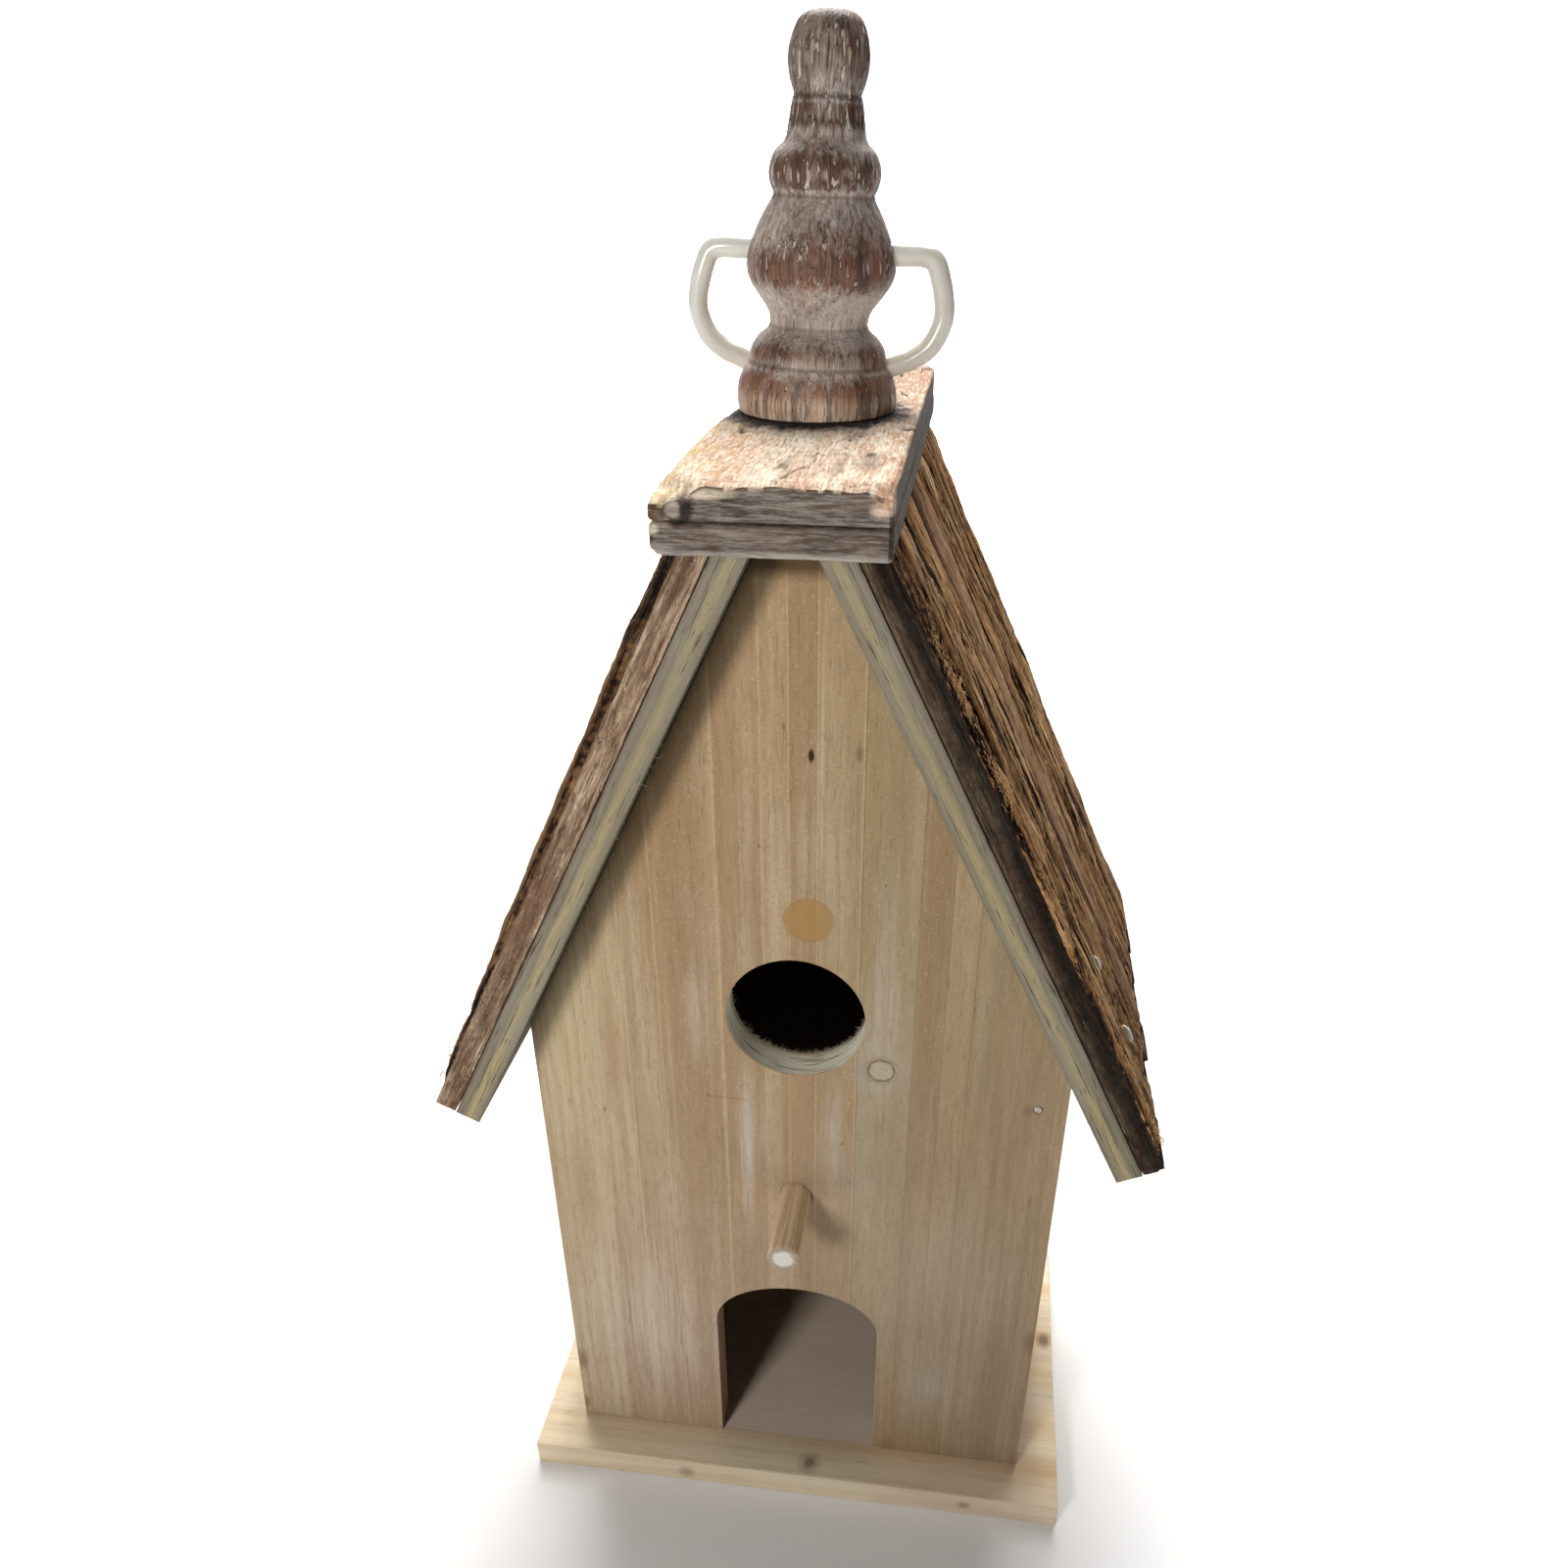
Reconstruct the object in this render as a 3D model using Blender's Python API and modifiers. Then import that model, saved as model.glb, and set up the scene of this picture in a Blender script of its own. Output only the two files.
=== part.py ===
"""Wooden birdhouse: a gabled box on a base board, with a bark-clad roof and a turned finial.

Metres, +Z up, with the front of the house facing -Y. The origin is the centre of the base
board's underside. Every wooden piece, fastener and handle is an object of its own.
"""
import math

import bmesh
import bpy
from mathutils import Matrix, Vector

# Clearance between pieces that touch, and the distance within which points are one point
GAP = 0.0003
SAME_POINT = 1e-6

# Walls
WALL_WIDTH = 0.150
WALL_DEPTH = 0.098
WALL_THICK = 0.010

# Base board
BASE_WIDTH = 0.1774
BASE_DEPTH = 0.1266
BASE_THICK = 0.0095

# Roof: the two inner faces would meet on a line RIDGE_HEIGHT above the origin
RIDGE_HEIGHT = 0.3308
ROOF_ANGLE = math.atan(2.0)
ROOF_RUN = 0.1975
BOARD_THICK = 0.0071
STRIP_THICK = 0.0064
STRIP_GAP = 0.0010
STRIP_WIDTHS = (0.0204, 0.0244, 0.0174, 0.0178, 0.0210, 0.0206)
STRIP_DROPS = (0.0000, -0.0042, 0.0008, -0.0030, -0.0012, 0.0010)
EAVE_TAPER_RUN = 0.0140
EAVE_TAPER_DROP = 0.0036

# Ridge cap
CAP_WIDTH = 0.0472
CAP_DEPTH = 0.1616
CAP_BOTTOM = 0.3206
CAP_LOWER_THICK = 0.0062
CAP_UPPER_THICK = 0.0073

# Openings in the front wall
ENTRY_RADIUS = 0.01905
ENTRY_HEIGHT = 0.1887
DOOR_HALF_WIDTH = 0.026
DOOR_SPRING = 0.066
DOOR_RISE = 0.0178

# Perch
PERCH_RADIUS = 0.0046
PERCH_REACH = 0.0255
PERCH_HEIGHT = 0.1242

# Plug and brad in the front wall
PLUG_RADIUS = 0.0047
PLUG_DEPTH = 0.004
PLUG_X = 0.0237
PLUG_HEIGHT = 0.1736
BRAD_RADIUS = 0.0011
BRAD_LENGTH = 0.025
BRAD_X = 0.067
BRAD_HEIGHT = 0.1648

# Cap nail
NAIL_X = 0.0146
NAIL_Y = 0.067
NAIL_HEAD_RADIUS = 0.0016
NAIL_SHANK_RADIUS = 0.0007
NAIL_HEAD_THICK = 0.0008
NAIL_LENGTH = 0.0120
NAIL_POINT_LENGTH = 0.0012

# Wood screws: four hold the walls on the base, and one holds the finial on the cap
SCREW_HEAD_RADIUS = 0.0034
SCREW_HEAD_DEPTH = 0.0024
SCREW_RIM = 0.0004
SCREW_SHANK_RADIUS = 0.0016
SCREW_POINT_LENGTH = 0.0040
SCREW_TIP_SHARE = 0.3
SCREW_RECESS = 0.0002
SLOT_LENGTH = 0.0054
SLOT_WIDTH = 0.0009
SLOT_DEPTH = 0.0008
HOLE_MOUTH = 0.0020
BASE_SCREW_LENGTH = 0.028
BASE_SCREW_X = 0.070
BASE_SCREW_Y = 0.028
FINIAL_SCREW_LENGTH = 0.032

# Finial: its foot stands on the cap, and its axis leans a little towards +X
FINIAL_X = -0.0015
FINIAL_LEAN = math.radians(2.0)
FINIAL_SINK = 0.0010
FOOT_ROOM = 0.0060

# The finial's outline from the top down, as (radius, height) in one list per smooth run
FINIAL_RUNS = (
    ((0.0000, 0.0786), (0.0042, 0.0783), (0.0070, 0.0764), (0.0086, 0.0717), (0.0085, 0.0675),
     (0.0073, 0.0636)),
    ((0.0077, 0.0627), (0.0088, 0.0562)),
    ((0.0094, 0.0550), (0.0114, 0.0531), (0.0125, 0.0500), (0.0122, 0.0474), (0.0113, 0.0454)),
    ((0.0115, 0.0446), (0.0140, 0.0402), (0.0161, 0.0354), (0.0170, 0.0313), (0.0160, 0.0277),
     (0.0121, 0.0224), (0.0113, 0.0196)),
    ((0.0118, 0.0184), (0.0142, 0.0165), (0.0157, 0.0142), (0.0161, 0.0117)),
    ((0.0166, 0.0110), (0.0184, 0.0077), (0.0191, 0.0038), (0.0186, 0.0008), (0.0178, 0.0000)),
    ((0.0178, 0.0000), (0.0000, 0.0000)),
)
RUN_STEPS = 2

# Handles: bent rods with both ends let into the finial, as (distance from the axis, height)
HANDLE_RADIUS = 0.00235
SOCKET_RUN = 0.0110
HANDLE_PATH = (
    (0.0107, 0.0343), (0.0180, 0.0343), (0.0230, 0.0343), (0.0256, 0.0333), (0.0270, 0.0306),
    (0.0284, 0.0255), (0.0285, 0.0210), (0.0263, 0.0162), (0.0226, 0.0132), (0.0191, 0.0118),
    (0.0150, 0.0102),
)

# Colours as linear red, green, blue
PALE_WOOD = (0.50, 0.37, 0.24)
BASE_WOOD = (0.58, 0.46, 0.32)
PALE_PLY = (0.47, 0.41, 0.29)
GREY_WOOD = (0.17, 0.13, 0.115)
BARK = (0.20, 0.115, 0.065)
SPLIT_WOOD = (0.52, 0.29, 0.18)
STAINED_WOOD = (0.16, 0.10, 0.085)
ENAMEL = (0.62, 0.60, 0.55)
STEEL = (0.45, 0.45, 0.46)

# Derived places
FRONT_Y = -WALL_DEPTH / 2
BACK_Y = WALL_DEPTH / 2
WALL_BOTTOM = BASE_THICK + GAP
ROOF_TOP = CAP_BOTTOM - GAP
CAP_MID = CAP_BOTTOM + CAP_LOWER_THICK
CAP_UPPER_BOTTOM = CAP_MID + GAP
CAP_TOP = CAP_UPPER_BOTTOM + CAP_UPPER_THICK
FINIAL_BOTTOM = CAP_TOP + GAP


def clear_scene():
    """Remove every object, so that the script starts from nothing."""
    for thing in list(bpy.data.objects):
        bpy.data.objects.remove(thing, do_unlink=True)


def new_collection(name):
    """A collection linked to the scene."""
    collection = bpy.data.collections.new(name)
    bpy.context.scene.collection.children.link(collection)
    return collection


def new_material(name, colour, roughness, metallic=0.0):
    """A plain material for one kind of stock."""
    material = bpy.data.materials.new(name)
    material.use_nodes = True
    shader = material.node_tree.nodes["Principled BSDF"]
    shader.inputs["Base Color"].default_value = (*colour, 1.0)
    shader.inputs["Roughness"].default_value = roughness
    shader.inputs["Metallic"].default_value = metallic
    return material


def place_mesh(name, mesh, collection, location=(0.0, 0.0, 0.0)):
    """An object for a mesh, put in a collection."""
    thing = bpy.data.objects.new(name, mesh)
    thing.location = location
    collection.objects.link(thing)
    return thing


def set_material(thing, material):
    """Give an object its one material."""
    thing.data.materials.clear()
    thing.data.materials.append(material)


def shade(thing, angle=35.0):
    """Smooth shading with sharp edges where faces meet steeply."""
    thing.data.shade_smooth()
    thing.data.set_sharp_from_angle(angle=math.radians(angle))


def add_bevel(thing, width, segments=2, angle=40.0):
    """Round an object's edges."""
    bevel = thing.modifiers.new("edges", 'BEVEL')
    bevel.width = width
    bevel.segments = segments
    bevel.limit_method = 'ANGLE'
    bevel.angle_limit = math.radians(angle)


def box(name, size, centre, collection):
    """A box of the given size about its centre."""
    work = bmesh.new()
    bmesh.ops.create_cube(work, size=1.0, matrix=Matrix.Diagonal((*size, 1.0)))
    mesh = bpy.data.meshes.new(name)
    work.to_mesh(mesh)
    work.free()
    return place_mesh(name, mesh, collection, centre)


def cylinder(name, radius, start, end, collection, sides=40):
    """A round bar from one point to another."""
    axis = Vector(end) - Vector(start)
    turn = axis.to_track_quat('Z', 'Y').to_matrix().to_4x4()
    work = bmesh.new()
    bmesh.ops.create_cone(
        work, cap_ends=True, segments=sides, radius1=radius, radius2=radius, depth=axis.length, matrix=turn)
    mesh = bpy.data.meshes.new(name)
    work.to_mesh(mesh)
    work.free()
    return place_mesh(name, mesh, collection, (Vector(start) + Vector(end)) / 2)


def curve_to_mesh(curve_object, collection):
    """Swap a curve object for its closed mesh, with the caps welded on."""
    bpy.context.view_layer.update()
    name = curve_object.name
    graph = bpy.context.evaluated_depsgraph_get()
    mesh = bpy.data.meshes.new_from_object(curve_object.evaluated_get(graph))
    matrix = curve_object.matrix_world.copy()
    bpy.data.objects.remove(curve_object, do_unlink=True)
    work = bmesh.new()
    work.from_mesh(mesh)
    bmesh.ops.remove_doubles(work, verts=work.verts, dist=SAME_POINT)
    bmesh.ops.recalc_face_normals(work, faces=work.faces)
    work.to_mesh(mesh)
    work.free()
    thing = place_mesh(name, mesh, collection)
    thing.matrix_world = matrix
    return thing


def plate(name, outlines, y_centre, thickness, collection):
    """A flat piece that stands in the XZ plane, cut to outlines of (x, z) points."""
    curve = bpy.data.curves.new(name, 'CURVE')
    curve.dimensions = '2D'
    curve.fill_mode = 'BOTH'
    curve.extrude = thickness / 2
    for outline in outlines:
        spline = curve.splines.new('POLY')
        spline.points.add(len(outline) - 1)
        for point, (x, z) in zip(spline.points, outline):
            point.co = (x, z, 0.0, 1.0)
        spline.use_cyclic_u = True
    thing = bpy.data.objects.new(name, curve)
    thing.location = (0.0, y_centre, 0.0)
    thing.rotation_euler = (math.pi / 2, 0.0, 0.0)
    collection.objects.link(thing)
    return curve_to_mesh(thing, collection)


def turned(name, profile, steps, collection):
    """A turned piece about its own Z axis from (radius, height) points that run from top to bottom."""
    mesh = bpy.data.meshes.new(name)
    points = [(radius, 0.0, height) for radius, height in profile]
    edges = [(i, i + 1) for i in range(len(points) - 1)]
    mesh.from_pydata(points, edges, [])
    thing = place_mesh(name, mesh, collection)
    screw = thing.modifiers.new("turn", 'SCREW')
    screw.axis = 'Z'
    screw.steps = steps
    screw.render_steps = steps
    screw.use_merge_vertices = True
    screw.merge_threshold = SAME_POINT
    return thing


def hide_cutter(cutter):
    """Mark a shape as a cutter."""
    cutter.hide_render = True
    cutter.display_type = 'WIRE'
    return cutter


def cut(thing, cutter):
    """Take a cutter's shape out of an object."""
    boolean = thing.modifiers.new("cut " + cutter.name, 'BOOLEAN')
    boolean.operation = 'DIFFERENCE'
    boolean.solver = 'EXACT'
    boolean.object = hide_cutter(cutter)


def circle(x, z, radius, count=48):
    """Points round a circle in the XZ plane."""
    angles = [2 * math.pi * i / count for i in range(count)]
    return [(x + radius * math.cos(a), z + radius * math.sin(a)) for a in angles]


def smooth_run(points, steps):
    """Points along a Catmull-Rom curve through the given points."""
    if len(points) == 2:
        return list(points)
    knots = [Vector(p) for p in points]
    ends = [knots[0] * 2 - knots[1]] + knots + [knots[-1] * 2 - knots[-2]]
    path = []
    for a, b, c, d in zip(ends, ends[1:], ends[2:], ends[3:]):
        for i in range(steps):
            t = i / steps
            path.append(0.5 * (2 * b + (c - a) * t + (2 * a - 5 * b + 4 * c - d) * t ** 2
                               + (3 * b - a - 3 * c + d) * t ** 3))
    path.append(knots[-1])
    return [(max(p.x, 0.0), p.y) for p in path]


def roof_point(side, along, offset):
    """A point (x, z) of the roof: along the slope from the ridge line, and outwards from its inner face."""
    x = along * math.cos(ROOF_ANGLE) + offset * math.sin(ROOF_ANGLE)
    z = RIDGE_HEIGHT - along * math.sin(ROOF_ANGLE) + offset * math.cos(ROOF_ANGLE)
    return side * x, z


def roof_along(height, offset):
    """How far along the slope the roof's layer at this offset comes down to a height."""
    return (RIDGE_HEIGHT + offset * math.cos(ROOF_ANGLE) - height) / math.sin(ROOF_ANGLE)


def under_roof(x):
    """The height of the roof's inner face at x, less the clearance."""
    return RIDGE_HEIGHT - GAP / math.cos(ROOF_ANGLE) - abs(x) * math.tan(ROOF_ANGLE)


def gable_outline(notch=()):
    """A gable wall's outline, with an optional notch in its lower edge from left to right."""
    half = WALL_WIDTH / 2
    top_half = (under_roof(0.0) - ROOF_TOP) / math.tan(ROOF_ANGLE)
    lower = [(-half, WALL_BOTTOM), *notch, (half, WALL_BOTTOM)]
    shoulder = under_roof(half)
    upper = [(half, shoulder), (top_half, ROOF_TOP), (-top_half, ROOF_TOP), (-half, shoulder)]
    return lower + upper


def door_notch(count=28):
    """The doorway's straight jambs and half-elliptical head, from left to right."""
    angles = [math.pi * (1 - i / count) for i in range(count + 1)]
    head = [(DOOR_HALF_WIDTH * math.cos(a), DOOR_SPRING + DOOR_RISE * math.sin(a)) for a in angles]
    return [(-DOOR_HALF_WIDTH, WALL_BOTTOM), *head, (DOOR_HALF_WIDTH, WALL_BOTTOM)]


def screw_outline(length, clearance=0.0, mouth=0.0):
    """A countersunk screw from its point down to its head, grown by a clearance.

    Height 0 is the flat of the head, and mouth is how far the outline runs on below it.
    """
    head = SCREW_HEAD_RADIUS + clearance
    shank = SCREW_SHANK_RADIUS + clearance
    tip = length + clearance
    return [
        (0.0, tip), (shank * SCREW_TIP_SHARE, tip), (shank, tip - SCREW_POINT_LENGTH),
        (shank, SCREW_HEAD_DEPTH), (head, SCREW_RIM), (head, -mouth), (0.0, -mouth)]


def make_base(parts, wood):
    """The base board."""
    centre = (0.0, 0.0, BASE_THICK / 2)
    board = box("base_board", (BASE_WIDTH, BASE_DEPTH, BASE_THICK), centre, parts)
    add_bevel(board, 0.0006)
    set_material(board, wood)
    return board


def make_front_wall(parts, cutters, wood):
    """The front wall, with its entry hole, doorway, perch hole, plug recess and brad hole."""
    y = FRONT_Y + WALL_THICK / 2
    openings = [
        gable_outline(door_notch()),
        circle(0.0, ENTRY_HEIGHT, ENTRY_RADIUS, 64),
        circle(0.0, PERCH_HEIGHT, PERCH_RADIUS + GAP, 32),
        circle(BRAD_X, BRAD_HEIGHT, BRAD_RADIUS + GAP, 12),
    ]
    wall = plate("front_wall", openings, y, WALL_THICK, parts)
    mouth = (PLUG_X, FRONT_Y - HOLE_MOUTH, PLUG_HEIGHT)
    floor = (PLUG_X, FRONT_Y + PLUG_DEPTH + GAP, PLUG_HEIGHT)
    cut(wall, cylinder("plug_recess", PLUG_RADIUS + GAP, mouth, floor, cutters, 32))
    set_material(wall, wood)
    return wall


def make_back_wall(parts, wood):
    """The plain back wall."""
    wall = plate("back_wall", [gable_outline()], BACK_Y - WALL_THICK / 2, WALL_THICK, parts)
    set_material(wall, wood)
    return wall


def make_side_wall(name, side, parts, wood):
    """A side wall between the gable walls, with its top planed to the roof's slope."""
    outer = WALL_WIDTH / 2
    inner = outer - WALL_THICK
    depth = WALL_DEPTH - 2 * (WALL_THICK + GAP)
    top = [(outer, under_roof(outer)), (inner, under_roof(inner))]
    outline = [(side * x, z) for x, z in [(inner, WALL_BOTTOM), (outer, WALL_BOTTOM), *top]]
    wall = plate(name, [outline], 0.0, depth, parts)
    set_material(wall, wood)
    return wall


def make_perch(parts, wood):
    """The perch: a dowel pressed through the front wall, flush inside."""
    start = (0.0, FRONT_Y - PERCH_REACH, PERCH_HEIGHT)
    end = (0.0, FRONT_Y + WALL_THICK, PERCH_HEIGHT)
    dowel = cylinder("perch_dowel", PERCH_RADIUS, start, end, parts, 40)
    add_bevel(dowel, 0.0006)
    set_material(dowel, wood)
    shade(dowel)
    return dowel


def make_plug(parts, wood):
    """A round wooden plug let into the front wall, flush with its face."""
    start = (PLUG_X, FRONT_Y, PLUG_HEIGHT)
    end = (PLUG_X, FRONT_Y + PLUG_DEPTH, PLUG_HEIGHT)
    plug = cylinder("wall_plug", PLUG_RADIUS, start, end, parts, 32)
    set_material(plug, wood)
    shade(plug)
    return plug


def make_brad(side_wall, parts, cutters, steel):
    """The headless brad that pins the front wall to the right side wall."""
    start = (BRAD_X, FRONT_Y, BRAD_HEIGHT)
    end = (BRAD_X, FRONT_Y + BRAD_LENGTH, BRAD_HEIGHT)
    brad = cylinder("wall_brad", BRAD_RADIUS, start, end, parts, 16)
    set_material(brad, steel)
    shade(brad)
    hole_end = (BRAD_X, FRONT_Y + BRAD_LENGTH + GAP, BRAD_HEIGHT)
    cut(side_wall, cylinder("brad_hole", BRAD_RADIUS + GAP, start, hole_end, cutters, 16))
    return brad


def make_roof_board(name, side, parts, ply):
    """The pale plywood board under one side's bark strips."""
    top_in = roof_along(ROOF_TOP, 0.0)
    top_out = roof_along(ROOF_TOP, BOARD_THICK)
    corners = [(top_in, 0.0), (top_out, BOARD_THICK), (ROOF_RUN, BOARD_THICK), (ROOF_RUN, 0.0)]
    outline = [roof_point(side, along, offset) for along, offset in corners]
    board = plate(name, [outline], 0.0, BASE_DEPTH, parts)
    set_material(board, ply)
    return board


def make_strips(prefix, side, parts, bark):
    """One side's bark-faced strips, laid down the slope edge to edge with a thin gap between them."""
    inner = BOARD_THICK + GAP
    outer = inner + STRIP_THICK
    strips = []
    y = -BASE_DEPTH / 2
    for number, (width, drop) in enumerate(zip(STRIP_WIDTHS, STRIP_DROPS), start=1):
        end = ROOF_RUN + drop
        corners = [
            (roof_along(ROOF_TOP, inner), inner), (roof_along(ROOF_TOP, outer), outer),
            (end - EAVE_TAPER_RUN, outer), (end, outer - EAVE_TAPER_DROP), (end, inner)]
        outline = [roof_point(side, along, offset) for along, offset in corners]
        strip = plate(f"{prefix}_{number}", [outline], y + width / 2, width, parts)
        add_bevel(strip, 0.0005, segments=1, angle=50.0)
        set_material(strip, bark)
        strips.append(strip)
        y += width + STRIP_GAP
    return strips


def make_cap(parts, grey, split):
    """The ridge cap's two boards, laid flat over the cut tops of the roof."""
    boards = []
    for name, bottom, thick, wood in (
            ("ridge_cap_lower", CAP_BOTTOM, CAP_LOWER_THICK, grey),
            ("ridge_cap_upper", CAP_UPPER_BOTTOM, CAP_UPPER_THICK, split)):
        board = box(name, (CAP_WIDTH, CAP_DEPTH, thick), (0.0, 0.0, bottom + thick / 2), parts)
        add_bevel(board, 0.0005)
        set_material(board, wood)
        boards.append(board)
    return boards


def make_cap_nail(cap_boards, parts, cutters, steel):
    """The small round-headed nail through the back of the cap's boards."""
    head_bottom = CAP_TOP + GAP
    head_top = head_bottom + NAIL_HEAD_THICK
    tip = head_top - NAIL_LENGTH
    profile = [
        (0.0, head_top), (NAIL_HEAD_RADIUS, head_top), (NAIL_HEAD_RADIUS, head_bottom),
        (NAIL_SHANK_RADIUS, head_bottom), (NAIL_SHANK_RADIUS, tip + NAIL_POINT_LENGTH), (0.0, tip)]
    nail = turned("cap_nail", profile, 20, parts)
    nail.location = (NAIL_X, NAIL_Y, 0.0)
    set_material(nail, steel)
    hole_ends = (NAIL_X, NAIL_Y, tip - GAP), (NAIL_X, NAIL_Y, head_top)
    hole = cylinder("nail_hole", NAIL_SHANK_RADIUS + GAP, *hole_ends, cutters, 20)
    for board in cap_boards:
        cut(board, hole)
    return nail


def add_screw(name, place, length, held, parts, cutters, steel):
    """A wood screw that points up from place, and its hole through the pieces that it holds."""
    screw = turned(name, screw_outline(length), 20, parts)
    screw.location = place
    set_material(screw, steel)
    cut(screw, box(name + "_slot", (SLOT_LENGTH, SLOT_WIDTH, 2 * SLOT_DEPTH), place, cutters))
    hole = turned(name + "_hole", screw_outline(length, GAP, HOLE_MOUTH), 20, cutters)
    hole.location = place
    for thing in held:
        cut(thing, hole)
    return screw


def add_base_screws(base, side_walls, parts, cutters, steel):
    """Two screws up through the base board into each side wall."""
    for side_name, side, wall in (("left", -1, side_walls[0]), ("right", 1, side_walls[1])):
        for end_name, end in (("front", -1), ("back", 1)):
            place = (side * BASE_SCREW_X, end * BASE_SCREW_Y, SCREW_RECESS)
            name = f"base_screw_{end_name}_{side_name}"
            add_screw(name, place, BASE_SCREW_LENGTH, [base, wall], parts, cutters, steel)


def finial_frame():
    """The matrix that stands the finial, and what is let into it, on the cap."""
    place = Matrix.Translation((FINIAL_X, 0.0, FINIAL_BOTTOM - FINIAL_SINK))
    return place @ Matrix.Rotation(FINIAL_LEAN, 4, 'Y')


def finial_outline():
    """The finial's whole outline from its top to its foot, with no point repeated."""
    outline = []
    for run in FINIAL_RUNS:
        for point in smooth_run(run, RUN_STEPS):
            if not outline or math.dist(point, outline[-1]) > SAME_POINT:
                outline.append(point)
    return outline


def make_finial(parts, cutters, wood):
    """The turned finial, with its foot cut level to sit on the cap."""
    finial = turned("finial", finial_outline(), 40, parts)
    finial.matrix_world = finial_frame()
    room_centre = (FINIAL_X, 0.0, FINIAL_BOTTOM - FOOT_ROOM / 2)
    cut(finial, box("finial_foot_cut", (CAP_WIDTH, CAP_WIDTH, FOOT_ROOM), room_centre, cutters))
    set_material(finial, wood)
    return finial


def make_handle(name, side, finial, parts, cutters, enamel):
    """A bent rod with both ends in sockets of the finial, and the two socket cuts."""
    frame = finial_frame()
    curve = bpy.data.curves.new(name, 'CURVE')
    curve.dimensions = '3D'
    curve.bevel_depth = HANDLE_RADIUS
    curve.bevel_resolution = 3
    curve.resolution_u = 5
    curve.use_fill_caps = True
    spline = curve.splines.new('BEZIER')
    spline.bezier_points.add(len(HANDLE_PATH) - 1)
    for point, (reach, height) in zip(spline.bezier_points, HANDLE_PATH):
        point.co = (side * reach, 0.0, height)
        point.handle_left_type = 'AUTO'
        point.handle_right_type = 'AUTO'
    rod = bpy.data.objects.new(name, curve)
    rod.matrix_world = frame
    parts.objects.link(rod)
    rod = curve_to_mesh(rod, parts)
    set_material(rod, enamel)
    shade(rod, 60.0)
    ends = ((HANDLE_PATH[0], HANDLE_PATH[1]), (HANDLE_PATH[-1], HANDLE_PATH[-2]))
    for number, (end, inner) in enumerate(ends, start=1):
        tip = Vector((side * end[0], 0.0, end[1]))
        out = (Vector((side * inner[0], 0.0, inner[1])) - tip).normalized()
        start = frame @ (tip - out * GAP)
        stop = frame @ (tip + out * SOCKET_RUN)
        socket = cylinder(f"{name}_socket_{number}", HANDLE_RADIUS + GAP, start, stop, cutters, 24)
        cut(finial, socket)
    return rod


def main():
    """Build the whole birdhouse."""
    clear_scene()
    parts = new_collection("birdhouse")
    cutters = new_collection("cutters")
    wall_wood = new_material("wall_wood", PALE_WOOD, 0.75)
    base_wood = new_material("base_wood", BASE_WOOD, 0.75)
    ply = new_material("roof_ply", PALE_PLY, 0.8)
    grey = new_material("weathered_wood", GREY_WOOD, 0.9)
    bark = new_material("bark", BARK, 0.95)
    split = new_material("split_wood", SPLIT_WOOD, 0.85)
    stained = new_material("stained_wood", STAINED_WOOD, 0.7)
    enamel = new_material("enamel", ENAMEL, 0.25)
    steel = new_material("steel", STEEL, 0.4, 1.0)

    base = make_base(parts, base_wood)
    make_front_wall(parts, cutters, wall_wood)
    make_back_wall(parts, wall_wood)
    left_wall = make_side_wall("left_wall", -1, parts, wall_wood)
    right_wall = make_side_wall("right_wall", 1, parts, wall_wood)
    make_perch(parts, wall_wood)
    make_plug(parts, base_wood)
    make_brad(right_wall, parts, cutters, steel)
    add_base_screws(base, (left_wall, right_wall), parts, cutters, steel)
    for side_name, side in (("left", -1), ("right", 1)):
        make_roof_board(f"roof_board_{side_name}", side, parts, ply)
        make_strips(f"bark_strip_{side_name}", side, parts, bark)
    cap_boards = make_cap(parts, grey, split)
    make_cap_nail(cap_boards, parts, cutters, steel)
    finial = make_finial(parts, cutters, stained)
    for side_name, side in (("left", -1), ("right", 1)):
        make_handle(f"handle_{side_name}", side, finial, parts, cutters, enamel)
    place = (FINIAL_X, 0.0, CAP_BOTTOM + SCREW_RECESS)
    held = [*cap_boards, finial]
    add_screw("finial_screw", place, FINIAL_SCREW_LENGTH, held, parts, cutters, steel)


main()
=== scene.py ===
"""Looks for the wooden birdhouse: plain walls, a bark-clad roof, a split-wood ridge cap and a turned finial.

Metres, +Z up, front towards -Y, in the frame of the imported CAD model. Shapes are worked out with numpy
on grids, and every finish is a procedural material. Lengths written as 1.2 * MM are in millimetres.
"""

import math

import bpy
import numpy as np
from mathutils import Matrix, Vector


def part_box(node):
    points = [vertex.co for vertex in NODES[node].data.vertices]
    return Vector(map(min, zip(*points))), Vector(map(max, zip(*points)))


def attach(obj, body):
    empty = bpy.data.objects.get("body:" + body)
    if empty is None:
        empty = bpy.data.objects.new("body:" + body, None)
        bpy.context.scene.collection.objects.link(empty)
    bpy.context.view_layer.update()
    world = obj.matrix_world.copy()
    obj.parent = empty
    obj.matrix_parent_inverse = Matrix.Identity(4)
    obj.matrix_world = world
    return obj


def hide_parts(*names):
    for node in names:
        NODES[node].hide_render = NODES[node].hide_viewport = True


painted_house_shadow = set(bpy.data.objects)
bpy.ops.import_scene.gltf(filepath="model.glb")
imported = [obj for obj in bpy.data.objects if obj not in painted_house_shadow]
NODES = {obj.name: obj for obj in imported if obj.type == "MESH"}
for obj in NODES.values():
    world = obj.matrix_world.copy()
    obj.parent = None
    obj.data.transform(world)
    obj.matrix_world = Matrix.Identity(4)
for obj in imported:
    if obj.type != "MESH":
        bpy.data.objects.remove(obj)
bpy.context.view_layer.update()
MM = 0.001

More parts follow.
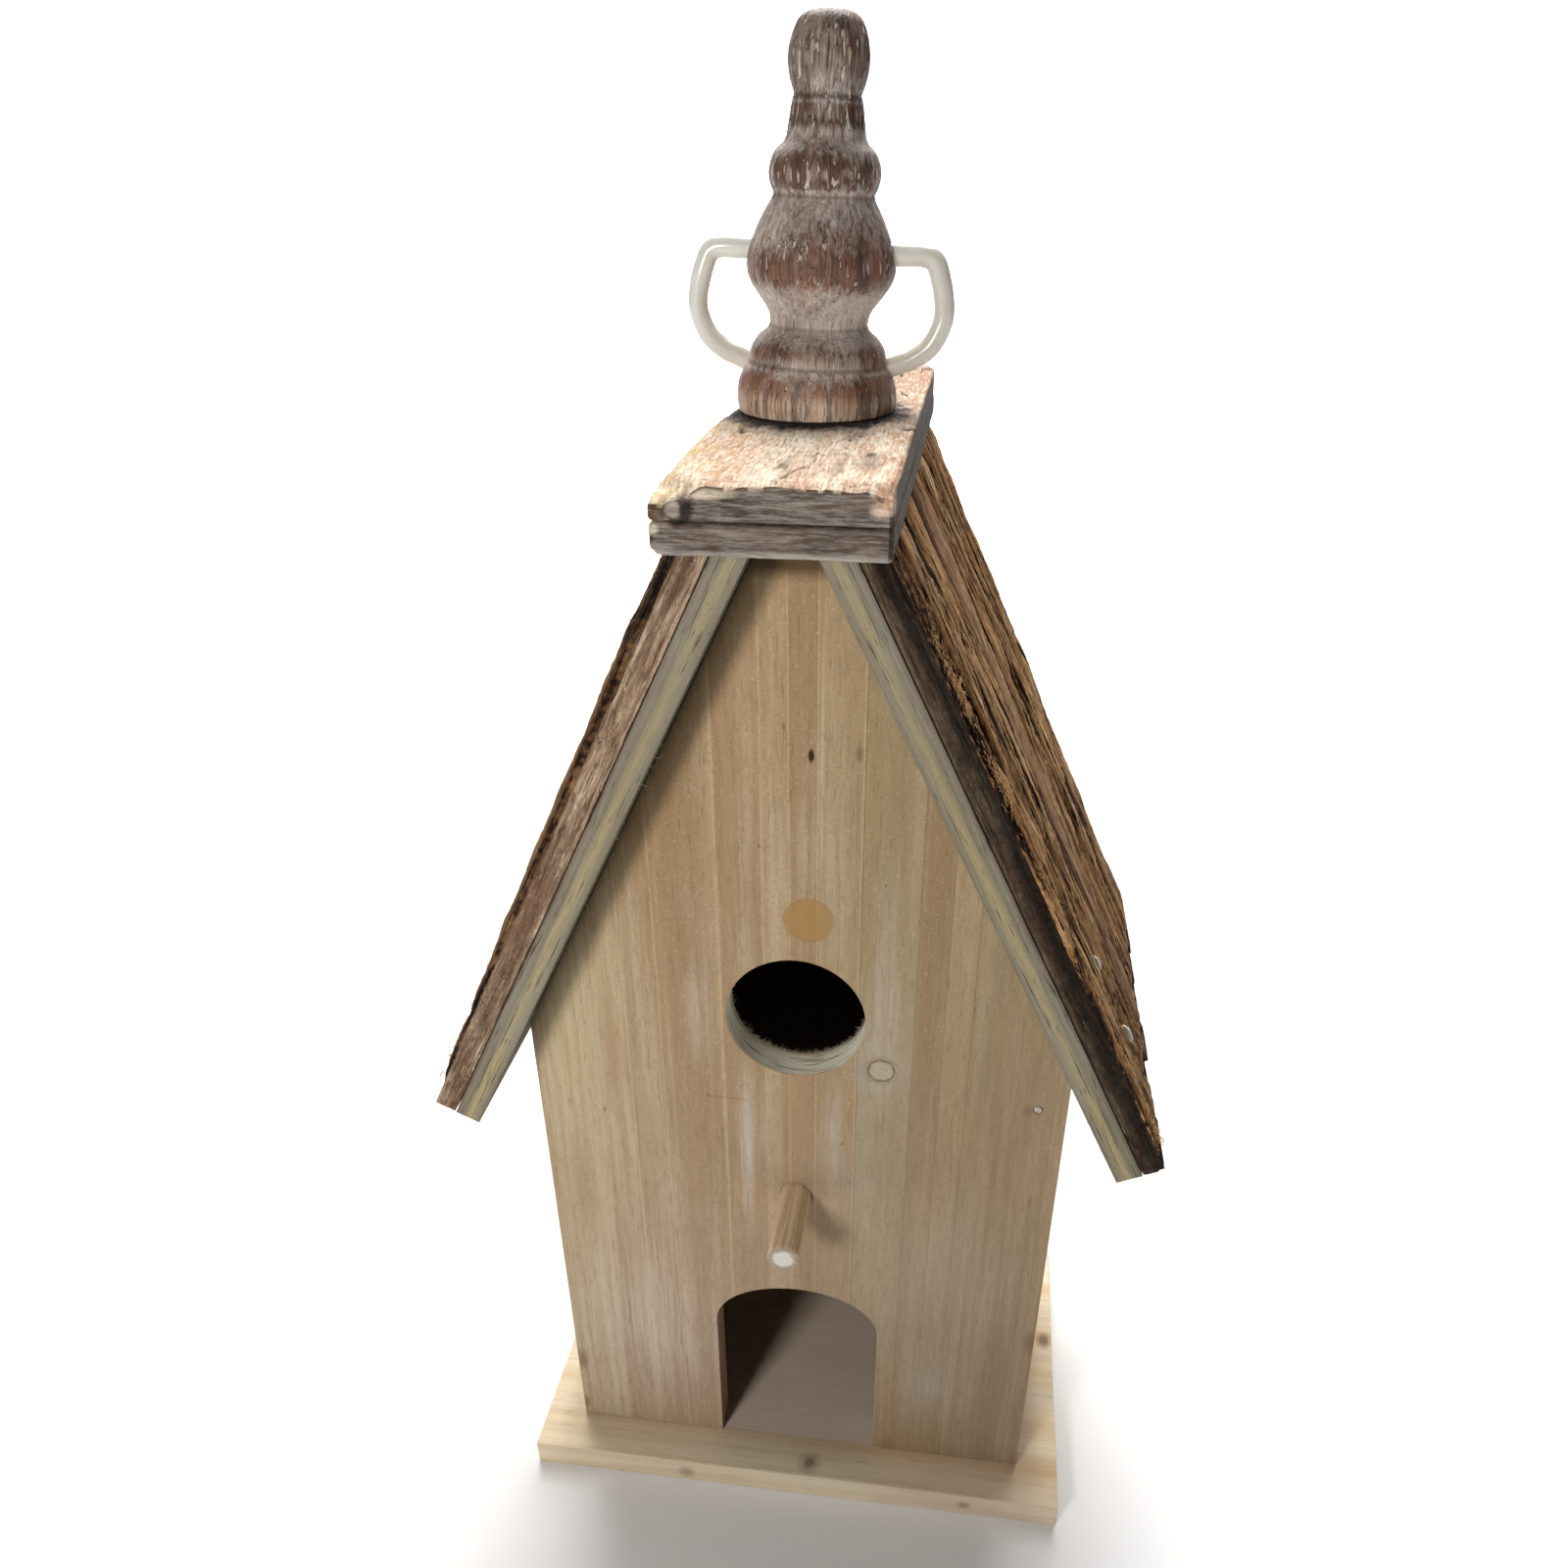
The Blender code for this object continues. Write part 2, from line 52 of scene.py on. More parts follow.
# Roof: its two inner faces meet on a line RIDGE_HEIGHT up, and it falls two for every one outwards
RIDGE_HEIGHT = 0.3308
ROOF_ANGLE = math.atan(2.0)
SLOPE_X = math.cos(ROOF_ANGLE)
SLOPE_Z = math.sin(ROOF_ANGLE)

# Finial axis, and its outline from the top down as (radius, height), one list per smooth run
FINIAL_X = -0.0015
FINIAL_LEAN = math.radians(2.0)
FINIAL_SINK = 0.0010
FINIAL_TALL = 0.0786
FINIAL_RUNS = (
    ((0.0, 78.6), (4.2, 78.3), (7.0, 76.4), (8.6, 71.7), (8.5, 67.5), (7.3, 63.6)),
    ((7.7, 62.7), (8.8, 56.2)),
    ((9.4, 55.0), (11.4, 53.1), (12.5, 50.0), (12.2, 47.4), (11.3, 45.4)),
    ((11.5, 44.6), (14.0, 40.2), (16.1, 35.4), (17.0, 31.3), (16.0, 27.7), (12.1, 22.4), (11.3, 19.6)),
    ((11.8, 18.4), (14.2, 16.5), (15.7, 14.2), (16.1, 11.7)),
    ((16.6, 11.0), (18.4, 7.7), (19.1, 3.8), (18.6, 0.8), (17.8, 0.0)),
)

# Entry hole in the front wall
ENTRY_HEIGHT = 0.1887
ENTRY_RADIUS = 0.01905

# Handles: the rod's centre line as (distance from the finial's axis, height), in millimetres
HANDLE_RADIUS = 2.35 * MM
HANDLE_PATH = (
    (10.7, 34.3), (18.0, 34.3), (23.0, 34.3), (25.6, 33.3), (27.0, 30.6), (28.4, 25.5), (28.5, 21.0),
    (26.3, 16.2), (22.6, 13.2), (19.1, 11.8), (15.0, 10.2),
)


# ---- Numbers: noise and curves on whole arrays -------------------

def hashed(cells, seed):
    """A fixed number from 0 to 1 for each whole-number cell: an integer hash of its three indices."""
    mixed = cells[..., 0] * 73856093 ^ cells[..., 1] * 19349663 ^ cells[..., 2] * 83492791
    mixed = (mixed ^ seed * 2654435) * 1274126177
    mixed = (mixed ^ (mixed >> 15)) * 668265263
    return ((mixed ^ (mixed >> 13)) & 0xFFFF) / 65535.0


def noise(a, b, c=0.0, seed=0):
    """Smooth noise from -1 to 1: hashed lattice values blended by a smoothstep along each of three axes."""
    a, b, c = np.broadcast_arrays(a, b, c)
    place = np.stack([a, b, c], axis=-1).astype(float)
    cell = np.floor(place).astype(np.int64)
    part = place - cell
    part = part * part * (3.0 - 2.0 * part)
    total = np.zeros(a.shape)
    for corner in np.ndindex(2, 2, 2):
        step = np.array(corner)
        weight = np.prod(np.where(step == 1, part, 1.0 - part), axis=-1)
        total += weight * hashed(cell + step, seed)
    return 2.0 * total - 1.0


def layered(a, b, c=0.0, seed=0, layers=3):
    """Noise summed over layers, each twice as fine and half as strong as the one before."""
    total = 0.0
    for layer in range(layers):
        fine = 2.0 ** layer
        total = total + noise(a * fine, b * fine, np.asarray(c) * fine, seed + layer) / fine
    return total / 1.75


def ease(value, low, high):
    """0 below low and 1 above high, with a smoothstep between them."""
    share = np.clip((value - low) / (high - low), 0.0, 1.0)
    return share * share * (3.0 - 2.0 * share)


def through(points, steps):
    """A Catmull-Rom curve through the points: each span is a cubic in its parameter, taken at equal steps."""
    knots = np.array(points, float)
    if len(knots) == 2:
        share = np.linspace(0.0, 1.0, steps + 1)[:, None]
        return knots[0] + (knots[1] - knots[0]) * share
    ends = np.vstack([2 * knots[0] - knots[1], knots, 2 * knots[-1] - knots[-2]])
    a, b, c, d = ends[:-3, None], ends[1:-2, None], ends[2:-1, None], ends[3:, None]
    t = np.linspace(0.0, 1.0, steps, endpoint=False)[None, :, None]
    spans = 0.5 * (2 * b + (c - a) * t + (2 * a - 5 * b + 4 * c - d) * t ** 2
                   + (3 * b - a - 3 * c + d) * t ** 3)
    return np.vstack([spans.reshape(-1, knots.shape[1]), knots[-1]])


def evenly(path, count):
    """The same path, read again at equal distances along it."""
    lengths = np.concatenate([[0.0], np.cumsum(np.linalg.norm(np.diff(path, axis=0), axis=1))])
    wanted = np.linspace(0.0, lengths[-1], count)
    return np.stack([np.interp(wanted, lengths, path[:, k]) for k in range(path.shape[1])], axis=1)


# ---- Surfaces ----------------------------------------------------

def block_skin(counts):
    """The skin of a unit block: six grids of two parameters, welded along their shared edges.

    Returns points from 0 to 1 and quads that wind anticlockwise seen from outside.
    """
    points, quads, start = [], [], 0
    for axis in range(3):
        first, second = (axis + 1) % 3, (axis + 2) % 3
        u, v = np.meshgrid(np.linspace(0, 1, counts[first] + 1), np.linspace(0, 1, counts[second] + 1),
                           indexing="ij")
        for side in (0, 1):
            grid = np.empty((*u.shape, 3))
            grid[..., axis] = side
            grid[..., first] = u
            grid[..., second] = v
            index = np.arange(u.size).reshape(u.shape) + start
            quad = np.stack([index[:-1, :-1], index[1:, :-1], index[1:, 1:], index[:-1, 1:]], axis=-1)
            quad = quad.reshape(-1, 4)
            quads.append(quad if side else quad[:, ::-1])
            points.append(grid.reshape(-1, 3))
            start += u.size
    points = np.vstack(points)
    _, kept, joined = np.unique(np.round(points * 1e6).astype(np.int64), axis=0,
                                return_index=True, return_inverse=True)
    return points[kept], joined.reshape(-1)[np.vstack(quads)]


def rounded(place, size, radius):
    """A block's skin with rounded edges: each point is pulled to the block shrunk by the radius, then pushed
    out by the radius along the line between the two. Returns the inner point and that outward direction."""
    inner = np.clip(place, radius, size - radius)
    outward = place - inner
    outward /= np.linalg.norm(outward, axis=1, keepdims=True)
    return inner, outward


def ring_skin(rings):
    """Quads between successive rings of points, closed round, with a fan to a pole at each end."""
    count, sides = rings.shape[:2]
    points = np.vstack([rings.reshape(-1, 3), rings[0].mean(axis=0), rings[-1].mean(axis=0)])
    index = np.arange(count * sides).reshape(count, sides)
    beside = np.roll(index, -1, axis=1)
    quads = np.stack([index[:-1], beside[:-1], beside[1:], index[1:]], axis=-1).reshape(-1, 4)
    low = np.stack([beside[0], index[0], np.full(sides, count * sides)], axis=-1)
    high = np.stack([index[-1], beside[-1], np.full(sides, count * sides + 1)], axis=-1)
    return points, quads.tolist() + low.tolist() + high.tolist()


def turned_rings(radii, heights, sides):
    """A profile of radius against height spun round +Z: one ring of points for each height."""
    angle = np.arange(sides) * (2 * math.pi / sides)
    wide = np.asarray(radii)
    if wide.ndim == 1:
        wide = np.repeat(wide[:, None], sides, axis=1)
    tall = np.repeat(np.asarray(heights)[:, None], sides, axis=1)
    return np.stack([wide * np.cos(angle), wide * np.sin(angle), tall], axis=-1)


def moved(points, matrix):
    """Points carried by a 4x4 matrix."""
    turn = np.array(matrix.to_3x3())
    return points @ turn.T + np.array(matrix.translation)


def add_mesh(name, points, faces, material):
    """A smooth-shaded mesh object at the origin with its material."""
    mesh = bpy.data.meshes.new(name)
    mesh.from_pydata(points.tolist(), [], faces.tolist() if isinstance(faces, np.ndarray) else faces)
    mesh.shade_smooth()
    mesh.materials.append(material)
    piece = bpy.data.objects.new(name, mesh)
    bpy.context.scene.collection.objects.link(piece)
    return piece


def add_piece(name, points, faces, material, stands_for=(), marks=None):
    """A mesh with values for its material to read, riding on the birdhouse's one body."""
    piece = add_mesh(name, points, faces, material)
    for mark, values in (marks or {}).items():
        layer = piece.data.attributes.new(mark, 'FLOAT', 'POINT')
        layer.data.foreach_set("value", np.ascontiguousarray(values, np.float32))
    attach(piece, "root")
    if stands_for:
        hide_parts(*stands_for)


def middle_of(node):
    """The middle of a CAD node's box."""
    low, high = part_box(node)
    return (low + high) / 2


# ---- Node trees --------------------------------------------------

class Value:
    """One output of a node. Its arithmetic and methods add nodes to the same tree."""

    __array_ufunc__ = None

    def __init__(self, tree, socket):
        self.tree = tree
        self.socket = socket

    def add(self, kind, inputs=None, output=0, **options):
        """An output of a new node. Each input is wired if it is given a Value, and set if not."""
        node = self.tree.nodes.new(kind)
        for option, value in options.items():
            setattr(node, option, value)
        for key, value in (inputs or {}).items():
            if isinstance(value, Value):
                self.tree.links.new(value.socket, node.inputs[key])
            else:
                node.inputs[key].default_value = value
        return Value(self.tree, node.outputs[output])

    def math(self, operation, first, second=0.0, **options):
        """One arithmetic step."""
        return self.add("ShaderNodeMath", {0: first, 1: second}, operation=operation, **options)

    def __add__(self, other):
        return self.math('ADD', self, other)

    def __sub__(self, other):
        return self.math('SUBTRACT', self, other)

    def __rsub__(self, other):
        return self.math('SUBTRACT', other, self)

    def __mul__(self, other):
        return self.math('MULTIPLY', self, other)

    def __truediv__(self, other):
        return self.math('DIVIDE', self, other)

    def __gt__(self, other):
        return self.math('GREATER_THAN', self, other)

    def __lt__(self, other):
        return self.math('LESS_THAN', self, other)

    def __abs__(self):
        return self.math('ABSOLUTE', self)

    def span(self, low, high, start=0.0, end=1.0):
        """This value carried from low..high to start..end, and held there outside."""
        return self.add("ShaderNodeMapRange", {0: self, 1: low, 2: high, 3: start, 4: end})

    def ramp(self, stops, interpolation='LINEAR'):
        """This value turned into a colour by stops of (place, colour or grey)."""
        colour = self.add("ShaderNodeValToRGB", {0: self})
        ramp = colour.socket.node.color_ramp
        ramp.interpolation = interpolation
        while len(ramp.elements) < len(stops):
            ramp.elements.new(1.0)
        for element, (place, paint) in zip(ramp.elements, stops):
            element.position = place
            element.color = (*(paint if isinstance(paint, tuple) else (paint,) * 3), 1.0)
        return colour

    def mixed(self, first, second):
        """Two colours mixed by this share."""
        return self.blend(self, first, second)

    def blend(self, share, first, second, mode='MIX'):
        """Two colours mixed by a share."""
        first, second = ((*paint, 1.0) if isinstance(paint, tuple) else paint for paint in (first, second))
        return self.add("ShaderNodeMix", {0: share, 6: first, 7: second}, 2,
                        data_type='RGBA', blend_type=mode)

    def coated(self, *layers):
        """This colour with layers of (share, colour) laid over it in turn."""
        colour = self
        for share, paint in layers:
            colour = self.blend(share, colour, paint)
        return colour

    def times(self, paint):
        """This colour multiplied by another."""
        return self.blend(1.0, self, paint, 'MULTIPLY')

    def joined(self, *parts, kind="ShaderNodeCombineXYZ"):
        """A vector, or a colour, from its parts."""
        return self.add(kind, dict(enumerate(parts)))

    def parts(self):
        """The X, Y and Z of this vector."""
        outputs = self.add("ShaderNodeSeparateXYZ", {0: self}).socket.node.outputs
        return [Value(self.tree, socket) for socket in outputs]

    def carried(self, scale=(1, 1, 1), shift=(0, 0, 0), turn=(0, 0, 0)):
        """These coordinates scaled, turned and shifted."""
        return self.add("ShaderNodeMapping", {
            "Vector": self, "Location": shift, "Rotation": turn, "Scale": scale})

    def cloud(self, scale, detail=2.0, rough=0.5, shift=(0, 0, 0)):
        """Noise from 0 to 1 over these coordinates, at one scale or at one for each axis."""
        place, scale = (self.carried(scale, shift), 1.0) if isinstance(scale, tuple) else (self, scale)
        return self.add("ShaderNodeTexNoise", {
            "Vector": place, "Scale": scale, "Detail": detail, "Roughness": rough})

    def attribute(self, name):
        """A value that the mesh carries."""
        return self.add("ShaderNodeAttribute", output="Fac", attribute_name=name)

    def group(self, tree, **inputs):
        """A shared group over these coordinates, as a dict of its outputs."""
        outputs = self.add("ShaderNodeGroup", {"Vector": self, **inputs}, node_tree=tree).socket.node.outputs
        return {socket.name: Value(self.tree, socket) for socket in outputs}

    def grain(self, fineness=1.0):
        """Wood grain along these coordinates' Z."""
        return self.group(GRAIN, Fineness=fineness)

    def specks(self, scale, amount):
        """A mask of small scattered specks."""
        return self.group(SPECKS, Scale=scale, Amount=amount)["Mask"]


def new_group(name, inputs, outputs):
    """An empty group with named sockets: its tree, what it is given as Values, and a function that wires its
    results."""
    tree = bpy.data.node_groups.new(name, 'ShaderNodeTree')
    tree.interface.new_socket("Vector", in_out='INPUT', socket_type='NodeSocketVector')
    for label, default in inputs.items():
        kind = 'NodeSocketVector' if isinstance(default, tuple) else 'NodeSocketFloat'
        tree.interface.new_socket(label, in_out='INPUT', socket_type=kind).default_value = default
    for label in outputs:
        tree.interface.new_socket(label, in_out='OUTPUT', socket_type='NodeSocketFloat')
    given = {socket.name: Value(tree, socket) for socket in tree.nodes.new("NodeGroupInput").outputs}
    result = tree.nodes.new("NodeGroupOutput").inputs

    def finish(**values):
        for label, value in values.items():
            tree.links.new(value.socket, result[label])
        return tree

    return given, finish


def new_material(name, roughness=0.8, shine=0.18):
    """A material with one shader of a given roughness and specular level, and its object coordinates."""
    material = bpy.data.materials.new(name)
    material.use_nodes = True
    tree = material.node_tree
    shader = tree.nodes["Principled BSDF"].inputs
    shader["Roughness"].default_value = roughness
    shader["Specular IOR Level"].default_value = shine
    return material, Value(tree, tree.nodes.new("ShaderNodeTexCoord").outputs["Object"])


def finished(material, colour, height=None, relief=0.0003, strength=0.6, **others):
    """The material with a colour, a bump height and any other inputs wired into its shader."""
    tree = material.node_tree
    shader = tree.nodes["Principled BSDF"].inputs
    wired = {"Base Color": colour, **others}
    if height is not None:
        wired["Normal"] = colour.add("ShaderNodeBump", {
            "Height": height, "Distance": relief, "Strength": strength})
    for label, value in wired.items():
        tree.links.new(value.socket, shader[label])
    return material


def grain_group():
    """Wood grain along the pattern's own Z: fine streaks, broad bands, short dark pores, and their relief."""
    given, finish = new_group("wood_grain", {"Fineness": 1.0}, ("Streaks", "Bands", "Pores", "Relief"))
    place = given["Vector"].add("ShaderNodeVectorMath", {0: given["Vector"], 3: given["Fineness"]},
                                operation='SCALE')
    sway = place.cloud((30, 30, 14))
    swayed = place.add("ShaderNodeVectorMath", {0: place, 1: place.joined(sway * 0.0030, sway * 0.0022)},
                       operation='ADD')
    fine = swayed.cloud((1500, 1500, 28), 3.0, 0.6)
    middle = swayed.cloud((420, 420, 9), shift=(3, 7, 1))
    pores = swayed.cloud((2100, 2100, 150), 1.0, 0.4, (5, 1, 9))
    streaks = fine * 0.45 + middle * 0.55
    return finish(Streaks=streaks, Bands=swayed.cloud((95, 95, 4), shift=(11, 2, 5)),
                  Pores=pores.span(0.66, 0.76), Relief=streaks - pores * 0.4)


def spot_group():
    """A soft-edged oval spot: 1 inside and 0 outside, its edge made uneven by noise."""
    given, finish = new_group("soft_spot", {
        "Centre": (0, 0, 0), "Radii": (1, 1, 1), "Softness": 0.2, "Uneven": 0.1}, ("Inside",))
    place = given["Vector"]
    away = place.add("ShaderNodeVectorMath", {0: place, 1: given["Centre"]}, operation='SUBTRACT')
    scaled = place.add("ShaderNodeVectorMath", {0: away, 1: given["Radii"]}, operation='DIVIDE')
    reach = place.add("ShaderNodeVectorMath", {0: scaled}, "Value", operation='LENGTH')
    reach = reach + (place.cloud(260.0, 3.0, 0.6) - 0.5) * (given["Uneven"] * 2.0)
    soft = given["Softness"]
    return finish(Inside=reach.span(1.0 - soft, place.math('ADD', 1.0, soft), 1.0, 0.0))


def stave_group():
    """Edge-glued staves side by side along the pattern's X: a tone for each stave, and its thin seams."""
    given, finish = new_group("staves", {"Width": 0.016}, ("Tone", "Tint", "Seam"))
    count = given["Vector"].parts()[0] / given["Width"]
    uneven = count.add("ShaderNodeTexNoise", {"W": count, "Scale": 0.37, "Detail": 0.0},
                       noise_dimensions='1D')
    count = count + uneven * 2.4
    number = count.math('FLOOR', count)
    tone, tint = (count.add("ShaderNodeTexWhiteNoise", {"W": w}, "Value", noise_dimensions='1D')
                  for w in (number, number + 31.5))
    return finish(Tone=tone, Tint=tint, Seam=count.math('PINGPONG', count, 0.5).span(0.006, 0.03, 1.0, 0.0))


def speck_group():
    """Small scattered specks: the share of the surface that they cover rises with Amount."""
    given, finish = new_group("specks", {"Scale": 900.0, "Amount": 0.3}, ("Mask",))
    limit = 0.8 - given["Amount"] * 0.4
    return finish(Mask=given["Vector"].cloud(given["Scale"], 2.0, 0.7).span(limit, limit + 0.08))


GRAIN, SPOT, STAVES, SPECKS = grain_group(), spot_group(), stave_group(), speck_group()


# ---- Materials ---------------------------------------------------

def add_marks(place, colour, marks, broken=None):
    """Soft spots laid over a colour. Each mark is (centre, radii, softness, unevenness, strength, colour), in
    millimetres. A mask given as broken lets the grain show through them."""
    for centre, radii, softness, uneven, strength, paint in marks:
        inside = place.group(SPOT, Centre=[c * MM for c in centre], Radii=[r * MM for r in radii],
                             Softness=softness, Uneven=uneven)["Inside"]
        if broken is not None:
            inside = inside * broken
        colour = colour.coated((inside * strength, paint))
    return colour


def face_marks(face, deep, rows):
    """Marks on a face square to Y, from rows of (x, z, half width, half height, softness, unevenness,
    strength, colour) in millimetres."""
    return [((x, face / MM, z), (wide, deep, tall), *rest) for x, z, wide, tall, *rest in rows]


def wall_wood(name, turn=(0, 0, 0), marks=(), washes_and_painted_shading=(), is_front=False, shift=0.0):
    """Pale softwood: a tone for each stave, then bands, ribbons, streaks and pores of grain, a greyer foot,
    a thin wash, seams, dirt and chalk specks, and painted shade: near-black inner faces above where the
    doorway's light reaches, and on the front wall the roof boards' shadow."""
    material, place = new_material(name, 0.78)
    along = place.carried((1, 1, 1), (shift, 0, 0), turn)
    grain = along.grain()
    streaks = grain["Streaks"]
    staves = along.group(STAVES, Width=0.0115)
    seam, tint = staves["Seam"], staves["Tint"]
    ribbons = along.cloud((190, 190, 6), 2.0, 0.6, (9, 4, 7))
    coarse = along.cloud((900, 900, 120), 5.0, 0.75, (4, 4, 4))
    wash = place.cloud((42, 42, 15), 4.0, shift=(4, 0, 2)).span(0.50, 0.70) * streaks.span(0.62, 0.40)
    base = staves["Tone"].ramp((
        (0.0, (0.30, 0.205, 0.100)), (0.25, (0.40, 0.305, 0.160)), (0.5, (0.47, 0.375, 0.205)),
        (0.75, (0.37, 0.295, 0.155))), 'CONSTANT').coated(
        (tint.span(0.45, 0.60, 0.0, 0.50), (0.44, 0.285, 0.165)),
        (grain["Bands"].span(0.40, 0.62) * 0.50, (0.36, 0.235, 0.115)),
        (ribbons.span(0.52, 0.64, 0.0, 0.26), (0.60, 0.475, 0.31)),
        (ribbons.span(0.46, 0.34, 0.0, 0.36), (0.31, 0.20, 0.10)),
        (streaks.span(0.44, 0.58) * 0.34, (0.31, 0.20, 0.105)),
        (grain["Pores"] * 0.55, (0.18, 0.105, 0.05)),
        (place.parts()[2].span(0.24, 0.04) * 0.34, (0.46, 0.345, 0.26)),
        (wash * 0.36, (0.62, 0.53, 0.41)),
        (seam * tint.span(0.50, 0.65, 0.0, 0.60), (0.60, 0.47, 0.28)),
        (seam * tint.span(0.50, 0.35, 0.0, 0.55), (0.20, 0.12, 0.055)),
        (place.specks(1500.0, 0.60) * 0.34, (0.22, 0.145, 0.08)),
        (place.carried((1, 1, 1), (3, 3, 3)).specks(1100.0, 0.50) * 0.30, (0.68, 0.58, 0.42)))
    # on the front wall these wash marks include painted light on the left and painted shade on the right
    base = add_marks(place, base, washes_and_painted_shading, streaks.span(0.60, 0.42, 0.25, 1.0)).coated(
        (coarse.span(0.52, 0.66, 0.0, 0.30), (0.20, 0.13, 0.065)),
        (coarse.span(0.46, 0.34, 0.0, 0.10), (0.66, 0.54, 0.36)))
    base = add_marks(place, base, marks)
    height = grain["Relief"]
    if is_front:
        base, height = add_hole_rim(place, base, height)
        # painted shadow of the roof boards on the front wall
        base = add_painted_eave_shadow(place, base)
    # painted shade: the faces inside the house near black above the doorway's light
    inside = inner_mask(place) * place.parts()[2].span(0.085, 0.11)
    return finished(material, base.coated((inside * 0.93, (0.018, 0.012, 0.008))), height, 0.0003, 0.55)


def add_painted_eave_shadow(place, colour):
    """Painted shadow of the two roof boards on the front wall, darker on the left: it fades with the
    square of the distance from the board."""
    for side, strength, reach in ((-1, 0.80, 8.5 * MM), (1, 0.35, 3.0 * MM)):
        near = roof_place(place, side)[1].span(-reach, -0.5 * MM)
        colour = colour.coated((near * near * strength, (0.055, 0.034, 0.014)))
    return colour


def inner_mask(place):
    """1 on the faces inside the house and 0 outside it."""
    inner_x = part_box("right_wall")[0][0] + 0.5 * MM
    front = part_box("front_wall")[1][1] - 0.3 * MM
    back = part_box("back_wall")[0][1] + 0.3 * MM
    x, y, _ = place.parts()
    return (abs(x) < inner_x) * ((y > front) * (y < back))


def add_hole_rim(place, colour, height):
    """The bored wall of the entry hole: pale greenish end grain in thin layers, its palest near white as
    painted light against the bore's shade, and darker at the back as painted shade.
    """
    x, y, z = place.parts()
    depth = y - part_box("front_wall")[0][1]
    at_rim = (radius_of(x, z - ENTRY_HEIGHT) < ENTRY_RADIUS + 0.2 * MM) * (depth > 0.15 * MM)
    layers = place.cloud((70, 1100, 70), 3.0, 0.6)
    # painted light: the bore's pale layers pushed near white against its shade
    rim = layers.ramp(((0.34, (0.74, 0.68, 0.51)), (0.48, (0.98, 0.95, 0.80)), (0.56, (0.90, 0.84, 0.66)),
                       (0.66, (0.46, 0.38, 0.26))))
    # painted shade: the bore darker towards the back
    rim = rim.coated((depth.span(7.0 * MM, 10.0 * MM, 0.0, 0.55), (0.30, 0.24, 0.17)))
    return colour.coated((at_rim, rim)), height + layers * at_rim * 3.0


def radius_of(across, up):
    """The length of a vector of two parts."""
    return across.add("ShaderNodeVectorMath", {0: across.joined(across, up)}, "Value", operation='LENGTH')


